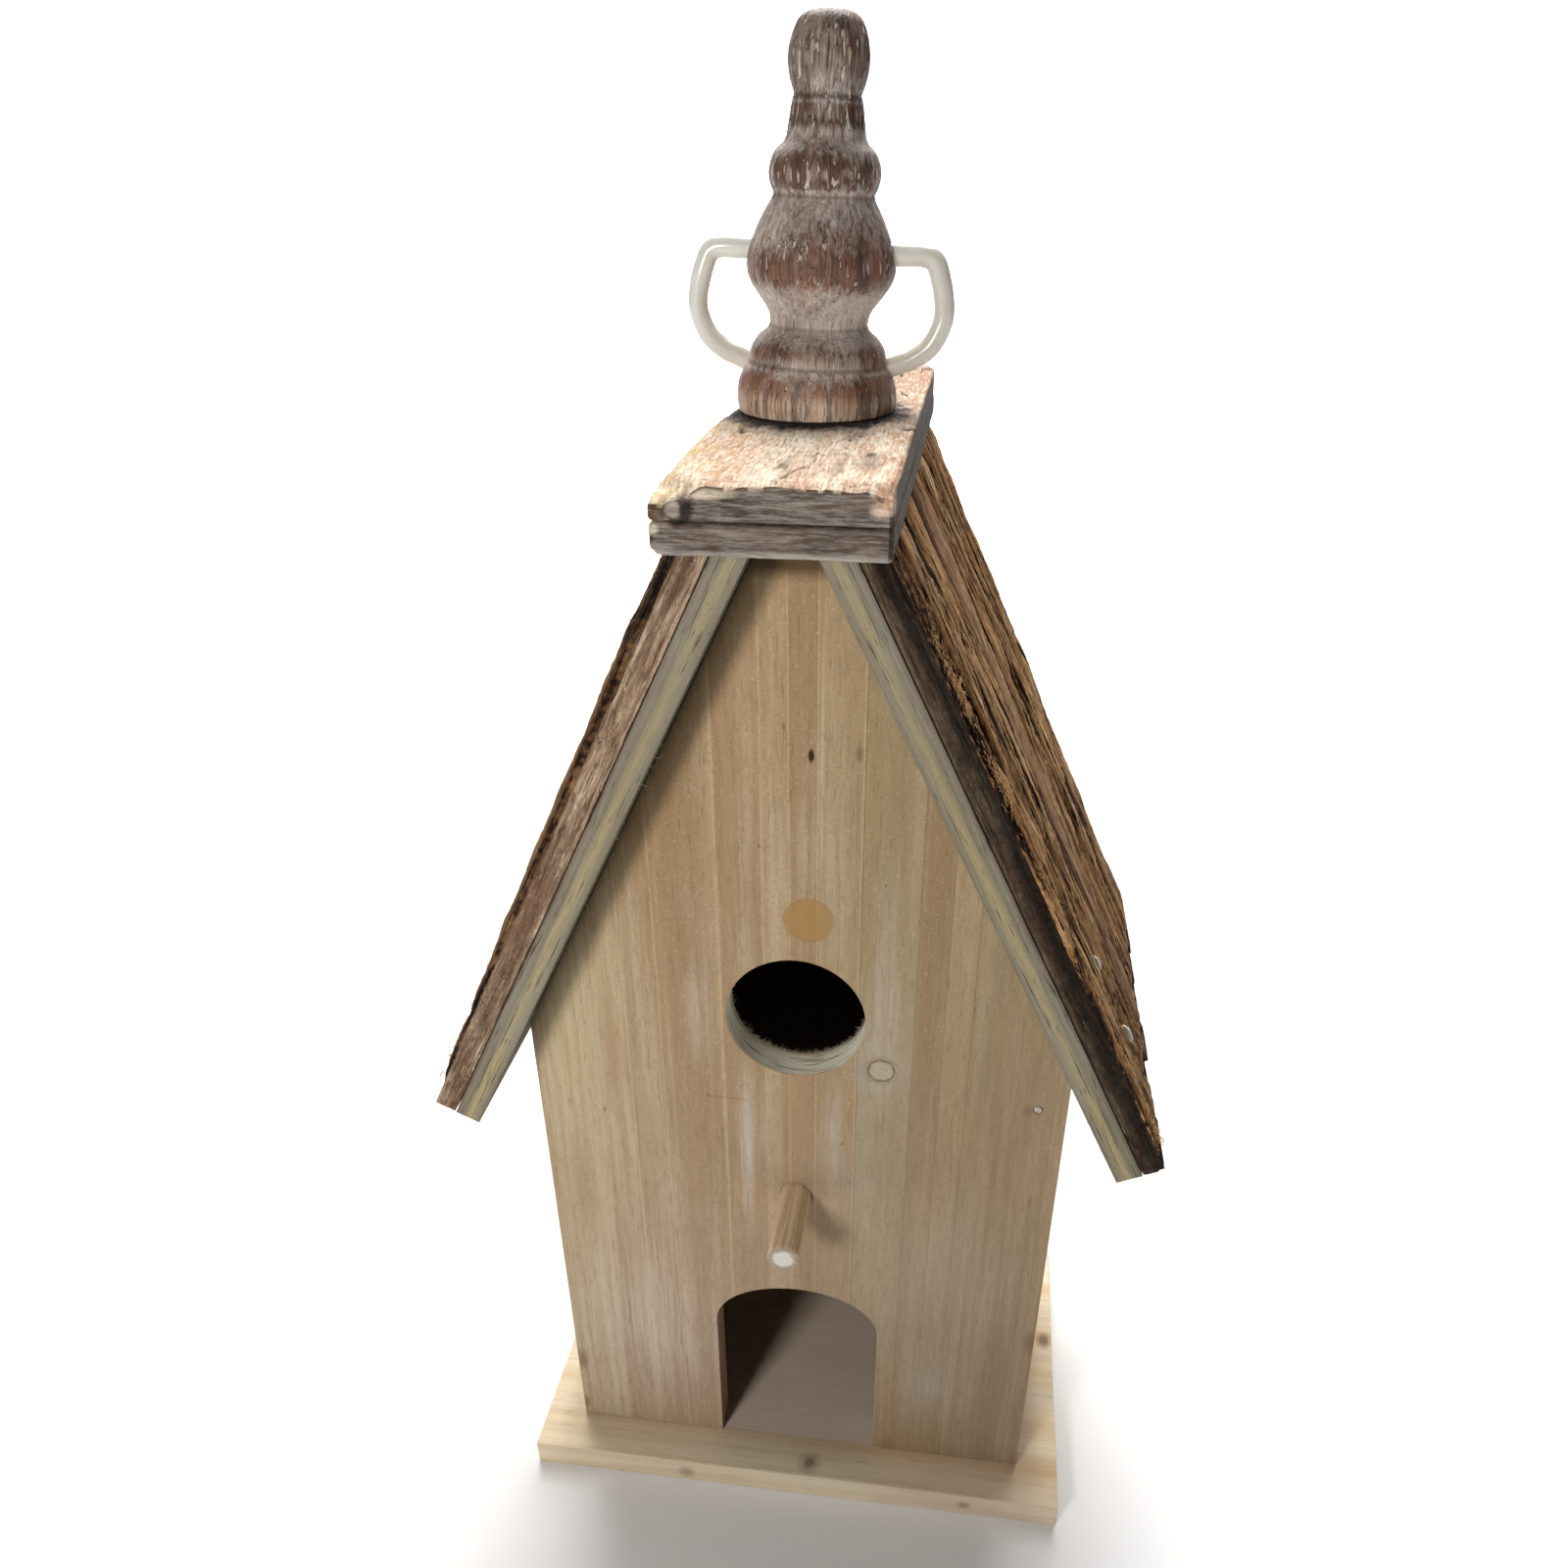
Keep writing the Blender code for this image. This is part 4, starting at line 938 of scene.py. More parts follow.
def bark_strip(name, side, number, material):
    """One bark-faced strip. A rounded block is laid down the slope, then pushed out along its own normals:
    on top by lumps, long furrows and fine fibres, at the sides by a slow waver that opens and closes the gap
    to the next strip, and at the eave by ragged rounding. Depth is how high each point ends up."""
    seed = 40 * number + (0 if side > 0 else 400)
    low, high = roof_extent(name, side)
    size = high - low
    unit, quads = block_skin((250, 64, 14))
    soft = 0.22 * MM
    inner, outward = rounded(unit * size, size, soft)
    down, y, out = (low + inner).T
    # the strip's top end is planed level under the ridge cap
    start = (RIDGE_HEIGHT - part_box(name)[1][2] + (low[2] + inner[:, 2]) * SLOPE_X) / SLOPE_Z
    share = (down - low[0]) / size[0]
    down = start + share * (high[0] - start)
    across = (y - low[1]) / size[1]
    is_top = ease(outward[:, 2], 0.1, 0.8)
    is_side = ease(np.abs(outward[:, 1]), 0.1, 0.8)
    is_end = ease(outward[:, 0], 0.3, 0.9)
    smooth_strip = 0.45 if number == 3 else 1.0

    lane = (y + 1.3 * MM * noise(down / 0.034, number * 3.7, 0.0, seed)
            + 0.35 * MM * noise(down / 0.007, 1.3, 0.0, seed))
    ridge_a = np.exp(-(noise(lane / (3.4 * MM), down / 0.060, 0.0, seed + 1) / 0.16) ** 2)
    ridge_b = np.exp(-(noise(lane / (1.9 * MM), down / 0.035, 0.0, seed + 2) / 0.20) ** 2)
    here = ease(noise(down / 0.030, y / 0.012, 0.0, seed + 3), -0.35, 0.35)
    furrow = (1.9 * ridge_a * here + 0.8 * ridge_b * (1.0 - 0.5 * here)) * smooth_strip
    fibre = 0.30 * noise(lane / (0.75 * MM), down / 0.011, 0.0, seed + 4)
    grit = 0.14 * noise(y / (0.45 * MM), down / 0.0012, 0.0, seed + 5)
    lump = 0.9 * layered(y / 0.007, down / 0.024, 0.0, seed + 6)
    crown = 1.1 * (1.0 - (2.0 * across - 1.0) ** 4) - 0.2
    proud = 1.5 * ease(high[0] - down, 0.0, 0.15) + 0.6
    rise = (proud + crown + lump + fibre + grit - furrow) * MM
    ragged = np.maximum(noise(y / 0.004, 2.0, 0.0, seed + 8), 0.0) * ease(down, high[0] - 0.010, high[0])
    rise -= (3.4 * ease(down, high[0] - 0.014, high[0] + 0.002) + 0.8 * ragged) * MM

    waver = 0.25 + 0.45 * (1.0 + noise(down / 0.022, across.round() * 9.0, 0.0, seed + 7))
    waver += 0.25 * np.maximum(noise(down / 0.004, out / 0.002, across.round(), seed + 9), 0.0)
    first_gap = (number == 1) & (across > 0.5) | (number == 2) & (across < 0.5)
    waver += 0.9 * first_gap * ease(noise(down / 0.015, number, 0.0, 13), -0.5, 0.2)
    in_bark = ease(out, low[2] + 0.55 * size[2], low[2] + 0.85 * size[2])
    is_outer_edge = (number == 1) & (across < 0.5)
    nibbled = 0.35 * MM * np.maximum(noise(down / 0.0016, out / 0.001, 0.0, seed + 11), 0.0)
    pull = np.where(is_outer_edge, nibbled, waver * MM * in_bark)
    scratch = 0.09 * MM * noise(down / 0.016, out / (0.5 * MM), y / 0.02, seed + 10)

    reach = soft + is_top * rise + is_side * (1.0 - is_top) * scratch
    end_cut = is_end * (1.2 * MM * noise(y / 0.005, out / 0.004, 0.0, seed + 12) - 0.5 * MM) * in_bark
    down = down + outward[:, 0] * soft + end_cut
    y = y + outward[:, 1] * reach - np.sign(outward[:, 1]) * is_side * pull
    out = out + outward[:, 2] * np.where(outward[:, 2] > 0, reach, soft)
    points = from_roof(down, y, out, side)
    # depth, read by the strip's material as painted shade: low in the furrows, at the strip edges and on the
    # sides between strips
    depth = np.clip(0.42 + (lump * 0.32 + fibre * 0.5 + grit * 0.8 + crown * 0.22 - furrow * 0.34), 0.0, 1.0)
    depth -= 0.50 * ease(np.abs(2.0 * across - 1.0), 0.82, 1.0) * (1.0 - is_outer_edge)
    depth = np.where(is_top > 0.5, depth, 0.25 * is_side + 0.35 * is_top)
    bark = np.clip(is_top * 1.1 + 0.55 * ease(out, low[2] + 0.80 * size[2], high[2]), 0.0, 1.0)
    inner_side = is_side * (1.0 - is_outer_edge)
    bark = np.maximum(bark, inner_side * ease(out, low[2] + 0.2 * size[2], low[2] + 0.6 * size[2]))
    depth = np.where((inner_side > 0.5) & (is_top < 0.5), 0.12, depth)
    fringe = (0.36 + 0.26 * noise(down / 0.012, 1.0, 0.0, seed + 14)
              + 0.30 * noise(down / 0.0012, out / 0.0008, 0.0, seed))
    depth = np.where(is_outer_edge & (is_side > 0.5), fringe, depth)
    pink = np.full(len(depth), float(number == 3))
    faces = quads if side < 0 else quads[:, ::-1]
    add_piece(f"{name}_bark", points, faces, material, (name,),
              {"depth": depth, "bark": bark, "pink": pink})


def add_threads(name, roots, heads, bends, lengths, thick, material, rings=4):
    """Thin curved threads: each follows root + head * s + bend * s * s, as a three-sided tube that tapers."""
    heads = heads / np.linalg.norm(heads, axis=1, keepdims=True)
    share = np.linspace(0.0, 1.0, rings)[None, :, None]
    middle = roots[:, None] + lengths[:, None, None] * (heads[:, None] * share + bends[:, None] * share ** 2)
    side = np.cross(heads, bends)
    side /= np.linalg.norm(side, axis=1, keepdims=True)
    up = np.cross(side, heads)
    angle = np.arange(3) * (2 * math.pi / 3)
    around = (np.cos(angle)[None, :, None] * side[:, None] + np.sin(angle)[None, :, None] * up[:, None])
    width = thick[:, None, None, None] * (1.0 - 0.8 * share[..., None])
    points = middle[:, :, None] + around[:, None] * width
    index = np.arange(len(roots) * rings * 3).reshape(len(roots), rings, 3)
    beside = np.roll(index, -1, axis=2)
    quads = np.stack([index[:, :-1], beside[:, :-1], beside[:, 1:], index[:, 1:]], axis=-1).reshape(-1, 4)
    ends = np.vstack([index[:, 0, ::-1], index[:, -1]])
    add_piece(name, points.reshape(-1, 3), quads.tolist() + ends.tolist(), material)


def bark_threads(name, side, count, material):
    """Loose bark fibres along the front strip's top edge and in the first gap of one roof side."""
    random = np.random.default_rng(11 if side > 0 else 12)
    low, high = roof_extent(f"bark_strip_{'right' if side > 0 else 'left'}_1", side)
    down = low[0] + 0.010 + random.random(count) * (high[0] - low[0] - 0.018)
    tuft = noise(down / 0.008, 0.5, 0.0, 77)
    keep = tuft + random.random(count) * 0.9 > 0.35
    down = down[keep]
    count = len(down)
    at_front = random.random(count) < 0.88
    y = np.where(at_front, low[1] + random.normal(1.0, 0.5, count) * MM,
                 high[1] + random.normal(0, 0.8, count) * MM)
    out = high[2] + np.where(at_front, random.normal(1.3, 0.5, count), random.normal(0.8, 0.6, count)) * MM
    roots = from_roof(down, y, out, side)
    along = random.choice([-1.0, 1.0], count)
    heads = np.stack([side * along * SLOPE_X, np.zeros(count), -along * SLOPE_Z], axis=1)
    heads += random.normal(0.0, 0.32, (count, 3))
    bends = random.normal(0.0, 0.14, (count, 3))
    lengths = (0.6 + random.random(count) ** 2 * 2.6) * MM
    thick = (0.04 + random.random(count) * 0.07) * MM
    add_threads(name, roots, heads, bends, lengths, thick, material)


def glue_blob(name, down, y, out, sizes, seed, material):
    """A squeezed-out drop of glue: a sphere's rings flattened to an oval and made lumpy by noise."""
    angle = np.linspace(0.06, math.pi - 0.06, 18)
    rings = turned_rings(np.sin(angle), -np.cos(angle), 24)
    rings *= 1.0 + 0.22 * layered(*(1.6 * np.moveaxis(rings, -1, 0)), seed)[..., None]
    points, faces = ring_skin(rings * np.array(sizes) * MM)
    world = from_roof(down + points[:, 0], y + points[:, 1], out + points[:, 2], 1)
    add_piece(name, world, [face[::-1] for face in faces], material)


# ---- Ridge cap ---------------------------------------------------

def cap_lower(material):
    """The lower cap board: a block with softened edges, shallow saw marks along its sides and small dents."""
    low, high = (np.array(c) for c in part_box("ridge_cap_lower"))
    size = high - low
    unit, quads = block_skin((90, 230, 12))
    inner, outward = rounded(unit * size, size, 0.7 * MM)
    place = low + inner
    x, y, z = place.T
    saw = (0.10 * noise(x / 0.009, y / 0.012, z / 0.0007, 3)
           + 0.12 * layered(x / 0.004, y / 0.004, z / 0.002, 5))
    dent = 0.5 * ease(layered(x / 0.006, y / 0.006, z / 0.003, 9), 0.42, 0.75)
    points = place + outward * (0.7 * MM + (saw - dent) * MM)[:, None]
    # a small chip off the front left lower corner
    corner = ease(-(points[:, 0] - low[0]) - (points[:, 2] - low[2]), -1.9 * MM, -0.2 * MM)
    corner *= ease(-(points[:, 1] - low[1]), -5 * MM, -1 * MM)
    points[:, 0] += corner * 1.0 * MM
    points[:, 2] += corner * 0.8 * MM
    add_piece("ridge_cap_lower_board", points, quads, material, ("ridge_cap_lower",))


def cap_upper(material):
    """The upper cap board. Its sawn sides are nearly flat, and its top is a split face: fibres and shallow
    cracks along Y, a rolled bark-side edge on the left, a ragged front lip, a broken front left corner with a
    knot, and rounded rear corners. Fresh marks the split face, and depth its cracks."""
    low, high = (np.array(c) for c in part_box("ridge_cap_upper"))
    size = high - low
    unit, quads = block_skin((110, 250, 16))
    inner, outward = rounded(unit * size, size, 0.8 * MM)
    x, y, z = (low + inner).T
    from_front = y - low[1]
    from_back = high[1] - y
    from_left = x - low[0]
    up = ease((z - low[2]) / size[2], 0.15, 1.0)
    is_top = ease(outward[:, 2], 0.05, 0.7)

    # the rolled left edge falls away from a line that wanders along the board
    edge = 4.6 * MM + 1.5 * MM * noise(y / 0.018, 0.0, 0.0, 21) + 0.6 * MM * noise(y / 0.005, 0.0, 0.0, 22)
    roll = np.clip((edge - from_left) / edge, 0.0, 1.0)
    sink = 5.4 * MM * (1.0 - np.sqrt(np.clip(1.0 - roll ** 2, 0.0, 1.0)))
    # the broken corner
    corner = ease(from_left + 0.6 * from_front + 0.8 * MM * noise(x / 0.003, y / 0.003, 0.0, 23),
                  11.5 * MM, 5.5 * MM)
    sink = np.maximum(sink, corner * 3.4 * MM)
    # the ragged front lip
    lip = ease(from_front, 3.4 * MM, 0.0) * (0.55 + 0.45 * noise(x / 0.004, 3.0, 0.0, 24))
    sink += lip * 1.3 * MM
    # the peeled front right corner
    right = ease((high[0] - x) + 0.8 * from_front, 6.5 * MM, 1.5 * MM)
    sink += right * 1.8 * MM

    fibre = (0.20 * noise(x / (0.75 * MM), y / 0.010, 0.0, 25)
             + 0.10 * noise(x / (0.4 * MM), y / 0.003, 0.0, 26))
    plank = 0.50 * layered(x / 0.006, y / 0.030, 0.0, 27)
    lane = x / (3.2 * MM) + 0.6 * noise(y / 0.02, 1.0, 0.0, 28)
    crack = np.exp(-(noise(lane, y / 0.045, 0.0, 29) / 0.07) ** 2)
    crack *= ease(noise(x / 0.008, y / 0.014, 0.0, 30), 0.02, 0.4)
    chatter = 0.16 * noise(x / 0.0022 + y / 0.003, y / 0.0016, 0.0, 31)
    face = plank + fibre + chatter - 0.9 * crack
    foot = np.hypot(x - FINIAL_X, y)
    face *= ease(foot, 17.5 * MM, 21.0 * MM)
    saw = (0.12 * noise(x / 0.010, y / 0.010, z / 0.0008, 32)
           + 0.10 * layered(x / 0.003, y / 0.003, z / 0.001, 33))
    rise = np.where(is_top > 0.5, face * 0.8, saw) * MM
    points = np.stack([x, y, z], axis=1) + outward * (0.8 * MM + rise)[:, None]
    points[:, 2] -= sink * up
    # rear corners rounded in plan, and the front lip set back
    back = ease(from_back, 6.5 * MM, 0.0)
    centre = (low[0] + high[0]) / 2
    beyond = ease(np.abs(x - centre), size[0] / 2 - 5 * MM, size[0] / 2)
    points[:, 0] -= np.sign(x - centre) * beyond * back * 2.2 * MM
    ragged = 0.9 * MM * (0.5 + 0.5 * noise(x / 0.0028, z / 0.0014, 0.0, 34)) * up
    points[:, 1] += ease(from_front, 1.5 * MM, 0.0) * ragged
    knot_at = np.array([-17.6 * MM, low[1] + 0.4 * MM, high[2] - 4.6 * MM])
    reach = np.linalg.norm((points - knot_at) / (np.array([2.3, 2.2, 2.0]) * MM), axis=1)
    points[:, 1] -= 1.1 * MM * ease(reach, 1.35, 0.45)
    points[:, 1] += 0.6 * MM * ease(np.abs(reach - 1.5), 0.35, 0.0) * ease(from_front, 4 * MM, 0.0)
    fresh = np.clip(is_top + corner * ease(from_left, 6 * MM, 1 * MM) + right * up, 0.0, 1.0)
    fresh *= ease(reach, 1.0, 1.6)
    crumb = ease(noise(x / 0.0016, y / 0.0012, z / 0.0012, 35), -0.45, 0.15)
    rolled = ease(outward[:, 2], 0.95, 0.60) * ease(from_front, 1.8 * MM, 0.4 * MM) * (outward[:, 1] < 0)
    # depth: low in the cracks, for painted shade, and along the rolled front lip
    depth = np.clip(0.5 + face * 0.55 - 0.15 * lip - 0.6 * rolled * crumb, 0.0, 1.0)
    add_piece("ridge_cap_upper_board", points, quads, material, ("ridge_cap_upper",),
              {"fresh": fresh, "depth": depth})


# ---- Turned pieces -----------------------------------------------

def finial_frame():
    """Where the finial's own axis stands: on the cap, leaning a little towards +X."""
    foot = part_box("finial")[0][2] - FINIAL_SINK
    return Matrix.Translation((FINIAL_X, 0.0, foot)) @ Matrix.Rotation(FINIAL_LEAN, 4, 'Y')


def finial_piece(material):
    """The finial: its outline spun round the axis, pushed in and out by slow out-of-roundness, by rows of
    long chips torn along the grain, and by fine tool lines. Groove is how far each point lies inside the
    fattest outline near it, which is where whitewash stays."""
    outline = np.vstack([evenly(through(run, 12), max(6, int(abs(run[0][1] - run[-1][1]) * 3.4)))
                         for run in FINIAL_RUNS])
    outline = np.vstack([outline[0] + (0.4, 0.0), outline[1:]])[::-1] * MM
    radii, heights = outline.T
    sides = 230
    angle = np.arange(sides) * (2 * math.pi / sides)
    wide, turn = np.meshgrid(radii, angle, indexing="ij")
    tall = np.repeat(heights[:, None], sides, axis=1)
    cx, cy = np.cos(turn), np.sin(turn)
    spread = np.abs(heights[:, None] - heights[None, :])
    near = np.where(spread < 3.2 * MM, radii[None, :], 0.0).max(axis=1)
    groove = np.clip((near - radii) / (1.7 * MM), 0.0, 1.0)
    groove = np.convolve(np.pad(groove, 2, mode="edge"), np.ones(5) / 5, mode="valid")
    groove *= ease(FINIAL_TALL - heights, 1.0 * MM, 9.0 * MM)

    # chips: long shallow tears, thick on the knob, the collar and the belly
    rows = sum(share * np.exp(-((tall - middle * MM) / (spread * MM)) ** 2) for share, middle, spread in (
        (0.9, 70.5, 6.5), (0.8, 59.0, 3.0), (1.0, 49.0, 2.6), (0.62, 33.0, 5.0), (0.35, 6.0, 3.0),
        (0.35, 14.0, 2.0)))
    long = 5.5 * MM
    girth = 13.0 * MM * turn
    chips = noise(girth / (1.5 * MM), tall / long, 0.0, 51)
    chips = np.maximum(chips, noise(girth / (0.9 * MM), tall / (0.6 * long), 5.0, 52))
    gouge = ease(chips, 0.78 - 0.36 * rows, 0.98 - 0.30 * rows) * np.clip(rows, 0.0, 1.0)
    slow = 0.22 * noise(cx * 1.6, cy * 1.6, tall / 0.010, 53)
    lines = 0.07 * noise(girth / (0.5 * MM), tall / 0.006, 0.0, 54)
    rough = 0.06 * noise(girth / (0.4 * MM), tall / (0.5 * MM), 0.0, 55)
    wide = wide + (slow + lines + rough - 0.62 * gouge) * MM * ease(wide, 0.5 * MM, 5 * MM)
    points, faces = ring_skin(turned_rings(wide, heights, sides))
    points = moved(points, finial_frame())
    points[:, 2] = np.maximum(points[:, 2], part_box("finial")[0][2])
    marks = {mark: np.append(values, (0.0, at_top)) for mark, values, at_top in (
        ("height", tall / FINIAL_TALL, 1.0), ("groove", np.repeat(groove, sides), 0.0), ("gouge", gouge, 0.0),
        ("rows", np.clip(rows, 0.0, 1.0), 0.0))}
    add_piece("finial_turned", points, faces, material, ("finial",), marks)


def handle_piece(name, side, material):
    """A bent rod: a circle carried square to a smooth plane curve, a little uneven in thickness."""
    path = evenly(through(HANDLE_PATH, 12), 120) * MM
    ahead = np.gradient(path, axis=0)
    ahead /= np.linalg.norm(ahead, axis=1, keepdims=True)
    angle = np.arange(28) * (2 * math.pi / 28)
    run = np.linspace(0.0, 1.0, len(path))
    wide = HANDLE_RADIUS * (1.0 + 0.035 * noise(run * 9.0, 0.0, 0.0, 61 + side))
    out = np.stack([-ahead[:, 1], ahead[:, 0]], axis=1)
    flat = wide[:, None] * np.cos(angle)
    rings = np.stack([
        side * (path[:, :1] + out[:, :1] * flat),
        wide[:, None] * np.sin(angle),
        path[:, 1:] + out[:, 1:] * flat], axis=-1)
    points, faces = ring_skin(rings)
    faces = [face[::-1] for face in faces] if side > 0 else faces
    points = moved(points, finial_frame())
    add_piece(f"{name}_rod", points, faces, material, (name,))


def lying_turned(name, node, radii, distances, sides, material, wobble=0.0, seed=0):
    """A profile spun round a line along Y through a node's middle; distances run back from its front end."""
    front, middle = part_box(node)[0][1], middle_of(node)
    rings = turned_rings(radii, distances, sides)
    if wobble:
        waver = noise(*np.moveaxis(rings / (0.002, 0.002, 0.008), -1, 0), seed)
        rings[..., :2] *= 1.0 + wobble * waver[..., None]
    points, faces = ring_skin(rings)
    world = np.stack([middle[0] + points[:, 0], front + points[:, 2], middle[2] - points[:, 1]], axis=1)
    add_piece(name, world, faces, material, (node,))


def perch_piece(material):
    """The perch: a dowel with a softly broken front edge and slightly uneven sides."""
    low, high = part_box("perch_dowel")
    radius = (high[0] - low[0]) / 2
    length = high[1] - low[1]
    turn = np.linspace(0.0, math.pi / 2, 7)
    soft = 0.7 * MM
    radii = np.concatenate([[0.4 * radius, 0.7 * radius], radius - soft * (1 - np.sin(turn)),
                            np.full(50, radius), [0.98 * radius, 0.5 * radius]])
    distances = np.concatenate([[0.0, 0.0], soft * (1.0 - np.cos(turn)),
                                np.linspace(1.0 * MM, length - 0.1 * MM, 50), [length, length]])
    lying_turned("perch_dowel_turned", "perch_dowel", radii, distances, 64, material, 0.02, 71)


def plug_piece(material):
    """The plug: a flat disc with a shallow ring groove just inside its edge."""
    low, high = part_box("wall_plug")
    radius = (high[0] - low[0]) / 2 + 0.28 * MM
    deep = high[1] - low[1]
    share = np.array([0.2, 0.45, 0.65, 0.72, 0.78, 0.84, 0.92, 0.97, 1.0])
    front = np.array([-0.02, -0.02, 0.00, 0.08, 0.16, 0.06, -0.05, -0.03, 0.02])
    radii = np.concatenate([radius * share, [radius, radius, 0.5 * radius]])
    distances = np.concatenate([front * MM, [0.5 * deep, deep, deep]])
    lying_turned("wall_plug_disc", "wall_plug", radii, distances, 64, material, 0.015, 72)


def brad_piece(material):
    """The brad: a painted pin with a slightly domed end."""
    low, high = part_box("wall_brad")
    radius = (high[0] - low[0]) / 2
    length = high[1] - low[1]
    turn = np.linspace(0.15, math.pi / 2, 7)
    dome = 0.4 * MM * (1.0 - np.cos(turn)) - 0.35 * MM
    radii = np.concatenate([radius * np.sin(turn), np.full(5, radius), [0.4 * radius]])
    distances = np.concatenate([dome, np.linspace(0.4 * MM, length, 5), [length]])
    lying_turned("wall_brad_pin", "wall_brad", radii, distances, 32, material, 0.04, 73)


def nail_piece(material):
    """The cap nail: a domed head on a thin shank with a tapered point."""
    low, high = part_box("cap_nail")
    head = (high[0] - low[0]) / 2
    shank = 0.7 * MM
    share = np.linspace(0.05, math.pi / 2, 9)
    foot, top = low[2], high[2]
    radii = np.concatenate([[0.15 * shank], np.full(7, shank), [head], head * np.cos(share - 0.05)[:-1],
                            [0.1 * head]])
    heights = np.concatenate([[foot, foot + 1.2 * MM], np.linspace(foot + 2 * MM, top - 0.8 * MM, 6),
                              [top - 0.75 * MM], top - 0.6 * MM * (1 - np.sin(share[:-1])), [top]])
    points, faces = ring_skin(turned_rings(radii, heights, 32))
    points[:, :2] += middle_of("cap_nail")[:2]
    add_piece("cap_nail_domed", points, faces, material, ("cap_nail",))


def hole_fuzz(material):
    """Torn fibres round the back edge of the entry hole, thickest along its lower side."""
    random = np.random.default_rng(21)
    low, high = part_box("front_wall")
    count = 520
    angle = -math.pi / 2 + random.normal(0.0, 0.85, count)
    radius = ENTRY_RADIUS - random.random(count) * 0.3 * MM
    y = high[1] - random.random(count) * 0.6 * MM
    roots = np.stack([radius * np.cos(angle), y, ENTRY_HEIGHT + radius * np.sin(angle)], axis=1)
    inwards = np.stack([-np.cos(angle), np.zeros(count), -np.sin(angle)], axis=1)
    heads = inwards + random.normal(0.0, 0.45, (count, 3))
    bends = random.normal(0.0, 0.4, (count, 3))
    lengths = (0.25 + random.random(count) ** 2 * 1.0) * MM
    thick = (0.06 + random.random(count) * 0.10) * MM
    add_threads("entry_hole_fuzz", roots, heads, bends, lengths, thick, material)


def ply_frays(name, side, count, material):
    """A few long splinters hanging from the inner lower edge of a roof board's front face."""
    random = np.random.default_rng(31 if side > 0 else 33)
    low, high = roof_extent(f"roof_board_{'right' if side > 0 else 'left'}", side)
    down = low[0] + 0.05 + random.random(count) * (high[0] - low[0] - 0.06)
    roots = from_roof(down, np.full(count, low[1] + 0.3 * MM), np.full(count, low[2] + 0.15 * MM), side)
    heads = np.stack([-side * np.abs(random.normal(0.6, 0.4, count)), random.normal(-0.1, 0.3, count),
                      random.normal(-0.3, 0.5, count)], axis=1)
    bends = random.normal(0.0, 0.5, (count, 3))
    lengths = (0.8 + random.random(count) ** 3 * 5.0) * MM
    thick = (0.04 + random.random(count) * 0.06) * MM
    add_threads(name, roots, heads, bends, lengths, thick, material, rings=6)


# ---- Putting it together -----------------------------------------

def give(node, material):
    """A carried-over CAD node takes a finished material."""
    thing = NODES[node]
    for place in thing.material_slots:
        place.material = material
    if not thing.material_slots:
        thing.data.materials.append(material)


def build_house():
    """Walls, base and what is let into them."""
    marks, washes_and_painted_shading = front_wall_marks()
    give("front_wall", wall_wood("front_wall_wood", marks=marks, washes_and_painted_shading=washes_and_painted_shading, is_front=True))
    give("back_wall", wall_wood("back_wall_wood", shift=0.31))
    quarter = (0, 0, math.pi / 2)
    give("left_wall", wall_wood("left_wall_wood", quarter, shift=0.53))
    give("right_wall", wall_wood("right_wall_wood", quarter, shift=0.77))
    give("base_board", base_wood("base_board_wood"))
    screws = steel("screw_steel")
    for end in ("front", "back"):
        for side in ("left", "right"):
            give(f"base_screw_{end}_{side}", screws)
    give("finial_screw", screws)
    cut = ((0.70, 0.67, 0.60), (0.36, 0.29, 0.21), (0.36, 0.29, 0.21))
    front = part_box("perch_dowel")[0][1]
    perch_piece(round_stock("perch_wood", "perch_dowel", 3.2 * MM, front, cut, (0.84, 0.64, 0.42)))
    cut = ((0.43, 0.36, 0.265), (0.13, 0.09, 0.055), (0.38, 0.30, 0.19))
    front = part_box("wall_plug")[0][1] + 2 * MM
    plug_piece(round_stock("plug_wood", "wall_plug", 3.6 * MM, front, cut))
    brad_piece(steel("painted_steel", (0.52, 0.48, 0.40), 0.0, 0.5))
    hole_fuzz(plain_grained("hole_splinters", (0.50, 0.42, 0.30), (0.36, 0.28, 0.19), 0.9))


def build_roof():
    """Plywood boards, bark strips and their loose fibres, and glue in the first gap."""
    fray = plain_grained("ply_splinters", (0.52, 0.42, 0.28), (0.36, 0.27, 0.16), 0.9)
    threads = plain_grained("bark_thread", (0.74, 0.46, 0.22), (0.30, 0.15, 0.06), 0.95)
    # the last three numbers of each side are painted light and shade for its strips: sawn sides from pale to
    # deep, and the bark's top light
    sides = (("left", -1, 1200, 3.3, 2.3, 0.50), ("right", 1, 3600, 1.0, 0.20, 1.12))
    for label, side, hairs, *painted_light_levels in sides:
        give(f"roof_board_{label}", roof_ply(f"roof_ply_{label}", side))
        strip = roof_strip(f"roof_strip_{label}", side, *painted_light_levels)
        for number in range(1, 7):
            bark_strip(f"bark_strip_{label}_{number}", side, number, strip)
        bark_threads(f"bark_threads_{label}", side, hairs, threads)
        ply_frays(f"ply_frays_{label}", side, 26, fray)
    glue = plain_grained("dried_glue", (0.78, 0.77, 0.71), (0.60, 0.56, 0.48), 0.4, (300, 300, 300), 0.0002)
    gap = roof_extent("bark_strip_right_1", 1)[1]
    for number, (down, long) in enumerate(((36.0, 3.6), (143.0, 2.4), (167.0, 2.8)), start=1):
        glue_blob(f"glue_drop_{number}", down * MM, gap[1] + 0.5 * MM, gap[2] + 1.3 * MM, (long, 1.1, 1.1),
                  80 + number, glue)


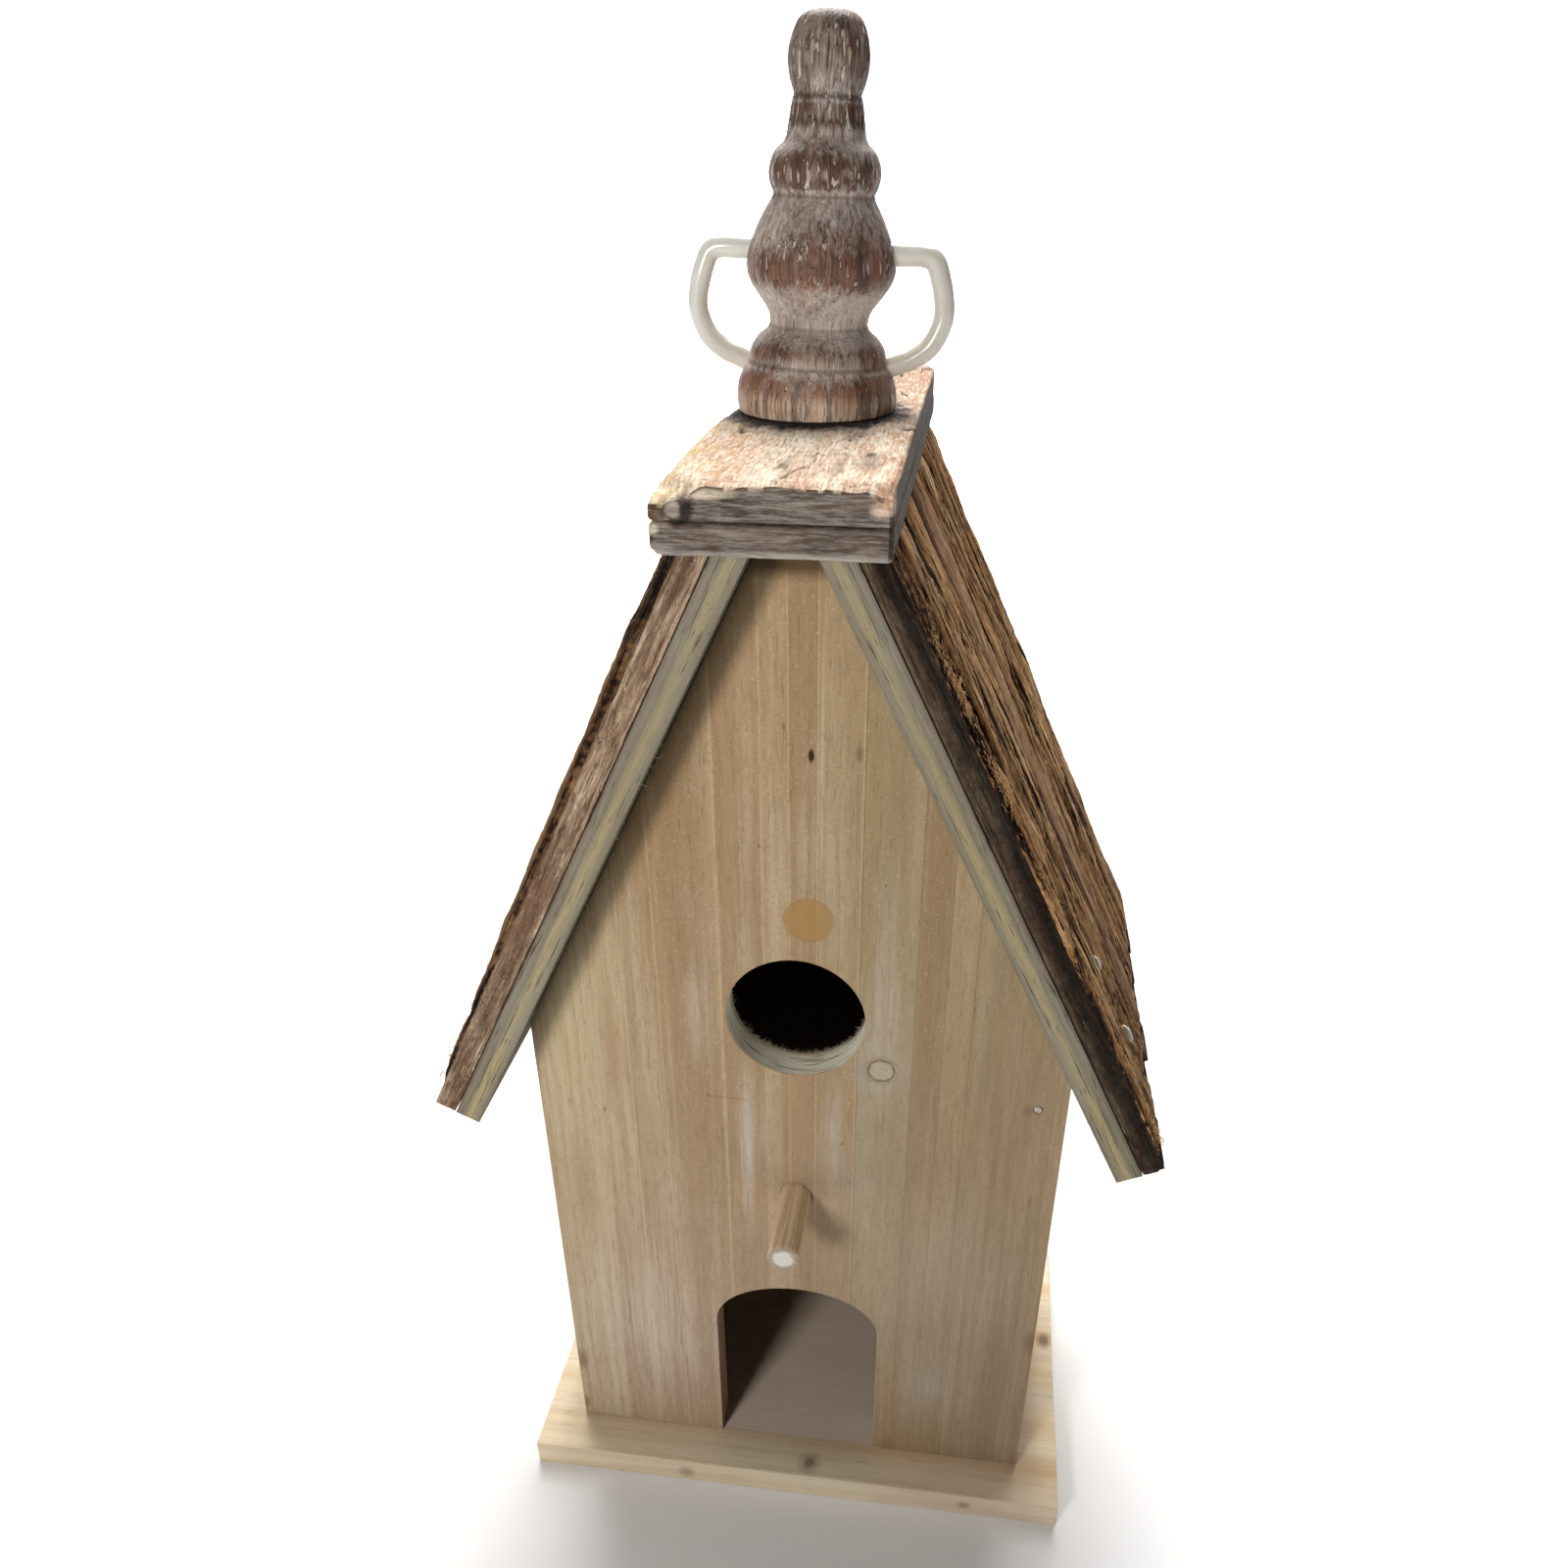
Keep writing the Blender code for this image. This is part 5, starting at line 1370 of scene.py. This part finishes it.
def build_top():
    """Ridge cap, nail, finial and handles."""
    cap_lower(cap_wood("cap_lower_wood", split=False))
    cap_upper(cap_wood("cap_upper_wood", split=True))
    nail_piece(steel("nail_steel", (0.30, 0.27, 0.25)))
    finial_piece(stained_wood("finial_wood"))
    white = enamel("handle_enamel")
    handle_piece("handle_left", -1, white)
    handle_piece("handle_right", 1, white)


def build_stage():
    """A pale floor that curves up into a backdrop: a profile of a flat, a quarter round and an upright."""
    bend = np.linspace(0.0, math.pi / 2, 24)
    radius, back, front, side = 0.8, 1.6, -2.5, 4.0
    profile_y = np.concatenate([[front], back + radius * np.sin(bend), [back + radius]])
    profile_z = np.concatenate([[0.0], radius * (1.0 - np.cos(bend)), [3.5]])
    x = np.linspace(-side, side, 9)
    grid = np.stack([np.repeat(x[None, :], len(profile_y), axis=0),
                     np.repeat(profile_y[:, None], len(x), axis=1),
                     np.repeat(profile_z[:, None], len(x), axis=1)], axis=-1)
    index = np.arange(grid[..., 0].size).reshape(grid.shape[:2])
    quads = np.stack([index[:-1, :-1], index[:-1, 1:], index[1:, 1:], index[1:, :-1]], axis=-1).reshape(-1, 4)
    material, place = new_material("studio_floor", 0.9)
    shade = place.cloud(3.0).span(0.3, 0.7)
    finished(material, shade.mixed((0.86, 0.86, 0.86), (0.88, 0.88, 0.88)))
    add_mesh("studio_floor", grid.reshape(-1, 3), quads, material)


def add_light(name, place, target, size, power, colour):
    """A square soft light at a place, facing a target."""
    data = bpy.data.lights.new(name, 'AREA')
    data.shape = 'SQUARE'
    data.size = size
    data.energy = power
    data.color = colour
    light = bpy.data.objects.new(name, data)
    light.location = place
    light.rotation_euler = (Vector(target) - Vector(place)).to_track_quat('-Z', 'Y').to_euler()
    bpy.context.scene.collection.objects.link(light)


def build_light():
    """Soft studio light: one near the front left, a broad one above and behind, one on the backdrop, and a
    faint white world."""
    middle = Vector((0.0, 0.0, 0.16))
    add_light("front_light", (-0.24, -0.60, 0.43), middle, 0.13, 2.35, (1.0, 0.985, 0.96))
    back_way = Vector((-0.05, 0.55, 1.0)).normalized()
    add_light("back_light", middle + back_way * 1.9, middle, 1.2, 56.0, (1.0, 0.99, 0.98))
    add_light("backdrop_light", (-0.5, 1.2, 1.35), (-0.7, 2.6, 0.75), 1.8, 110.0, (1.0, 1.0, 1.0))
    world = bpy.data.worlds.new("studio_air")
    world.use_nodes = True
    world.node_tree.nodes["Background"].inputs[0].default_value = (1.0, 1.0, 1.0, 1.0)
    world.node_tree.nodes["Background"].inputs[1].default_value = 0.045
    bpy.context.scene.world = world
    bpy.context.scene.view_settings.view_transform = 'Standard'


def build_camera():
    """The camera: close in front, a little to the right, looking down."""
    data = bpy.data.cameras.new("camera")
    data.sensor_width = 36.0
    data.lens = 28.347
    data.shift_x = -0.0118
    data.shift_y = 0.0899
    data.clip_start = 0.01
    camera = bpy.data.objects.new("camera", data)
    camera.location = (0.03875, -0.31523, 0.38612)
    camera.rotation_euler = (math.radians(58.106), 0.0, math.radians(7.860))
    bpy.context.scene.collection.objects.link(camera)
    bpy.context.scene.camera = camera


build_camera()
build_light()
build_stage()
build_house()
build_roof()
build_top()
